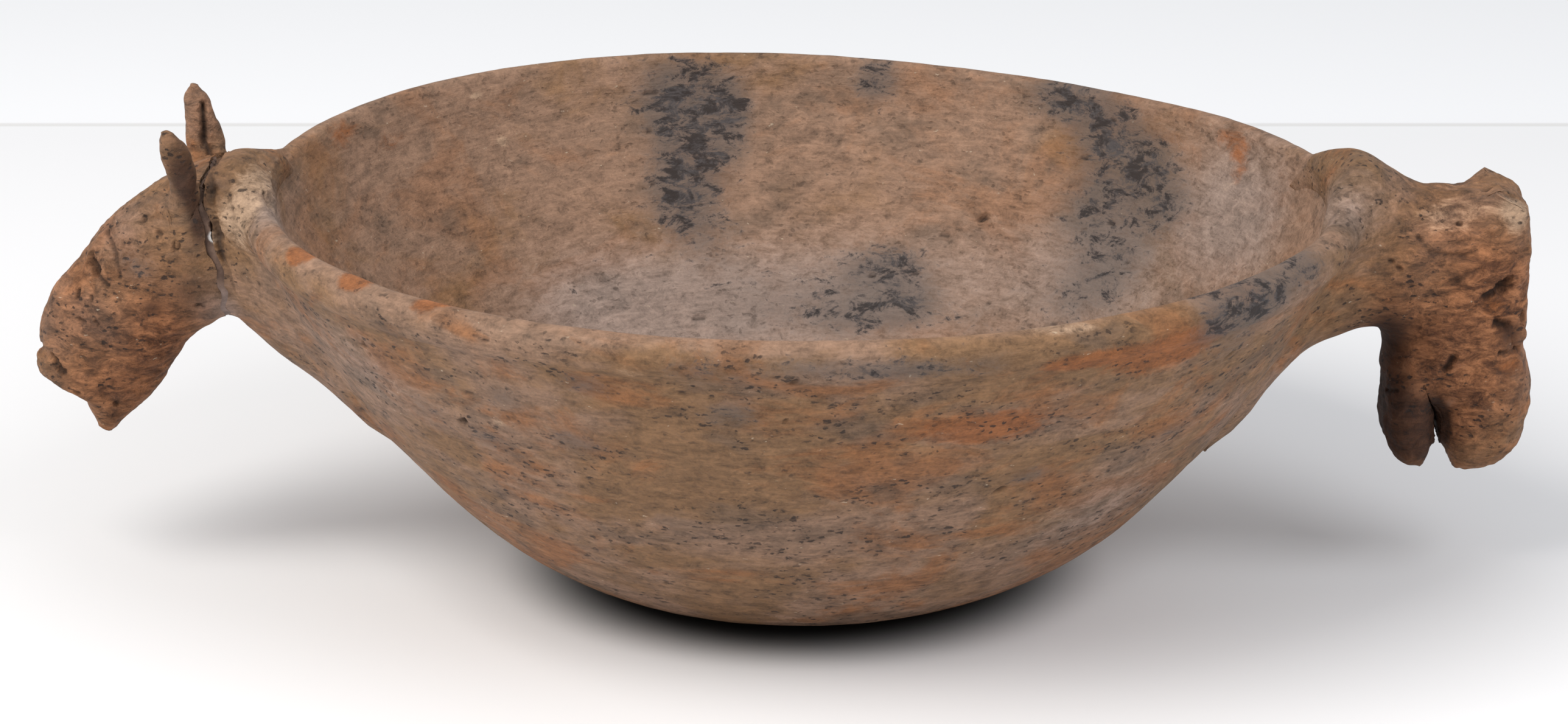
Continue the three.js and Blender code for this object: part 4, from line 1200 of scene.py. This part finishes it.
def put_growth(node, rows, joined, reach, marks=(), dome=0.8):
    """A lump as a closed piece: its loft, smeared up to what it sits on, with its free end
    rounded, then roughened and pitted."""
    rings = loft(spaced_lines(rows, GROWTH_STEP)[0], GROWTH_AROUND)
    rings = smeared(rings, facing_away(rings), joined, reach)
    rings = rounded_end(rings, dome)
    normals = facing_away(rings)
    depth, hollow = pressed(rings, marks)
    rings = rings + normals * (worked(rings) + rough(rings) - depth)[..., None]
    put_rings(node, rings, head_clay, clay_marks(rings, hollow), facing_away(rings))


put_growth("left_near_ear", near_ear_rows, gap_to(left_lines), EAR_REACH, dome=1.5)
put_growth("left_far_ear", far_ear_rows, gap_to(left_lines), EAR_REACH,
           [(-171.2, 18.4, 131.5, -171.6, 15.8, 121.0, 1.9, 1.9),
            (-171.0, 16.0, 121.0, -169.5, 14.0, 118.0, 1.5, 1.5)], dome=1.3)
put_growth("right_jaw", right_jaw_rows, gap_to(right_lines), RIGHT_JAW_REACH,
           [(167.0, -8.0, 54.2, 171.4, -13.9, 56.4, 1.0, 0.9),
            (171.4, -13.9, 56.4, 176.8, -17.3, 58.4, 1.0, 0.9)])
put_growth("right_near_ear_stump", near_stump_rows, gap_to(right_lines), STUMP_REACH)
put_growth("right_far_ear_stump", far_stump_rows, gap_to(right_lines), STUMP_REACH)

# Pellets pressed into sockets beside the right head's nose: small balls of clay, flattened.
# Their place is measured from the middle of the neck's face.
PELLET_HALVES = (4.4, 3.2, 4.0)
PELLET_LEAN = 0.3
PELLET_OUT, PELLET_DOWN, PELLET_ACROSS = 32.5, 20.6, 12.7
BALL_STEPS = 48


def ball(middle, halves, lean):
    """Rings over a ball stretched to three half sizes and leaned in the side view: the height
    goes with the cosine of one angle and the level ring with its sine."""
    down = np.linspace(0.06, math.pi - 0.06, BALL_STEPS)[:, None]
    about = np.linspace(0, 2 * math.pi, 2 * BALL_STEPS, endpoint=False)
    x = np.sin(down) * np.cos(about) * halves[0]
    y = np.sin(down) * np.sin(about) * halves[1]
    z = np.cos(down) * np.ones_like(about) * halves[2]
    turned = (x * math.cos(lean) + z * math.sin(lean), y, z * math.cos(lean) - x * math.sin(lean))
    return np.stack(turned, -1) + middle


for node, across in (("right_near_pellet", -PELLET_ACROSS), ("right_far_pellet", PELLET_ACROSS)):
    rings = ball((RIGHT_FACE[0] + PELLET_OUT, across, RIGHT_FACE[1] - PELLET_DOWN),
                 PELLET_HALVES, PELLET_LEAN)
    rings = rings + facing_away(rings) * rough(rings)[..., None]
    put_rings(node, rings, head_clay, clay_marks(rings, np.zeros(rings.shape[:2])),
              facing_away(rings))

# The restorer's filler: a matt paste in the break between the left neck and head, toned brown
# high up and greyer low down, with one spot left white. It is the skin there, sunk a little.
FILLER_LOW = colour(0.13, 0.090, 0.076), colour(0.26, 0.19, 0.165)
FILLER_HIGH = colour(0.070, 0.038, 0.026), colour(0.165, 0.100, 0.070)
FILLER_WHITE = colour(0.62, 0.60, 0.58)
filler = bpy.data.materials.new("mend_filler")
filler.use_nodes = True
paste = Paint(filler.node_tree, None)
spot = paste.node("TexCoord", output=3)
dusty = spot.grain(160.0, 5.0, 0.6)
low, high = (dusty.between(0.35, 0.68).mix(*pair) for pair in (FILLER_LOW, FILLER_HIGH))
shade = paste.attribute("film").between(0.15, 0.60).mix(high, low)
shade = (paste.attribute("pale") + (dusty - 0.5)).between(0.4, 0.8).mix(shade, FILLER_WHITE)
filler_shader = filler.node_tree.nodes["Principled BSDF"]
filler.node_tree.links.new(shade.socket, filler_shader.inputs["Base Color"])
filler_shader.inputs["Roughness"].default_value = 0.8
relief = spot.grain(700.0, 4.0, 0.6)
filler.node_tree.links.new(
    relief.node("Bump", {}, {"Strength": 0.5, "Distance": 0.0005, "Height": relief}).socket,
    filler_shader.inputs["Normal"])
mend_rows = slice(left_face, left_face + MEND_RINGS + 1)
rings = left_skin[mend_rows]
sunk = 0.1 + 0.9 * np.clip((rings[..., 2] - 92) / 10, 0, 1) + 0.25 * clay_noise(rings, 5.0, 31)
rings = rings - left_normals[mend_rows] * sunk[..., None]
put_rings("left_mend", rings, filler, clay_marks(rings, np.zeros(rings.shape[:2])),
          np.zeros(rings.shape))

# The floor: a plain pale table that goes on as a slightly lighter wall colour far behind, with
# a thin line between them. Far behind it glows a little, painted light, and round the bowl's
# foot it carries a painted contact shadow.
TABLE_WHITE, WALL_WHITE = colour(0.88, 0.88, 0.89), colour(0.93, 0.93, 0.95)
EDGE_GREY, PAINTED_CONTACT_SHADOW = colour(0.55, 0.52, 0.48), colour(0.02, 0.018, 0.015)
FAR_GLOW = colour(0.012, 0.018, 0.014)
floor_mesh = bpy.data.meshes.new("floor")
floor_mesh.from_pydata([(-6, -6, 0), (6, -6, 0), (6, 6, 0), (-6, 6, 0)], [], [(0, 1, 2, 3)])
floor = bpy.data.objects.new("floor", floor_mesh)
bpy.context.scene.collection.objects.link(floor)
table = bpy.data.materials.new("pale_table")
table.use_nodes = True
top = Paint(table.node_tree, None)
table_place = top.node("TexCoord", output=3)
from_foot = table_place.node("VectorMath", {"operation": "LENGTH"}, {0: table_place}, output=1)
# Painted contact shadow: the floor goes near black within 56 mm of the middle of the foot and back to
# white by 92 mm.
board = from_foot.between(0.056, 0.092).mix(PAINTED_CONTACT_SHADOW, TABLE_WHITE)
depth = table_place.node("SeparateXYZ", {}, {0: table_place}, output=1)
board = depth.between(0.497, 0.503).mix(board, WALL_WHITE)
edge = depth.between(0.496, 0.499) - depth.between(0.501, 0.504)
board = (edge * 0.35).mix(board, EDGE_GREY)
# Painted light: the far part of the floor, which stands for the wall, glows a little though it is no
# lamp.
glow = depth.between(0.47, 0.53).mix(colour(0, 0, 0), FAR_GLOW)
table_shader = table.node_tree.nodes["Principled BSDF"]
table.node_tree.links.new(glow.socket, table_shader.inputs["Emission Color"])
table_shader.inputs["Emission Strength"].default_value = 1.0
table.node_tree.links.new(board.socket, table_shader.inputs["Base Color"])
table_shader.inputs["Roughness"].default_value = 0.7
floor_mesh.materials.append(table)

# Soft light: a bright pale room, a broad lamp above, to the left and in front, and a weaker one
# on the right.
ROOM_COLOUR, ROOM_STRENGTH = colour(0.95, 0.97, 1.0), 0.52
LAMP_AIM_HEIGHT = 0.08
world = bpy.data.worlds.new("room")
world.use_nodes = True
backdrop = world.node_tree.nodes["Background"]
backdrop.inputs["Color"].default_value = ROOM_COLOUR
backdrop.inputs["Strength"].default_value = ROOM_STRENGTH
bpy.context.scene.world = world


def soft_lamp(name, place, size, watts, tint):
    """A square lamp that looks at the middle of the bowl."""
    data = bpy.data.lights.new(name, "AREA")
    data.size, data.energy, data.color = size, watts, tint
    lamp = bpy.data.objects.new(name, data)
    x, y, z = place
    away = math.hypot(x, y)
    lamp.location = place
    lamp.rotation_euler = (math.atan2(away, z - LAMP_AIM_HEIGHT), 0,
                           math.atan2(y, x) + math.pi / 2)
    bpy.context.scene.collection.objects.link(lamp)


soft_lamp("main_lamp", (-1.0, -0.7, 1.3), 1.1, 27, (1.0, 0.97, 0.93))
soft_lamp("fill_lamp", (1.2, -0.7, 1.1), 1.2, 14, (0.97, 0.98, 1.0))
bpy.context.scene.view_settings.view_transform = "Standard"
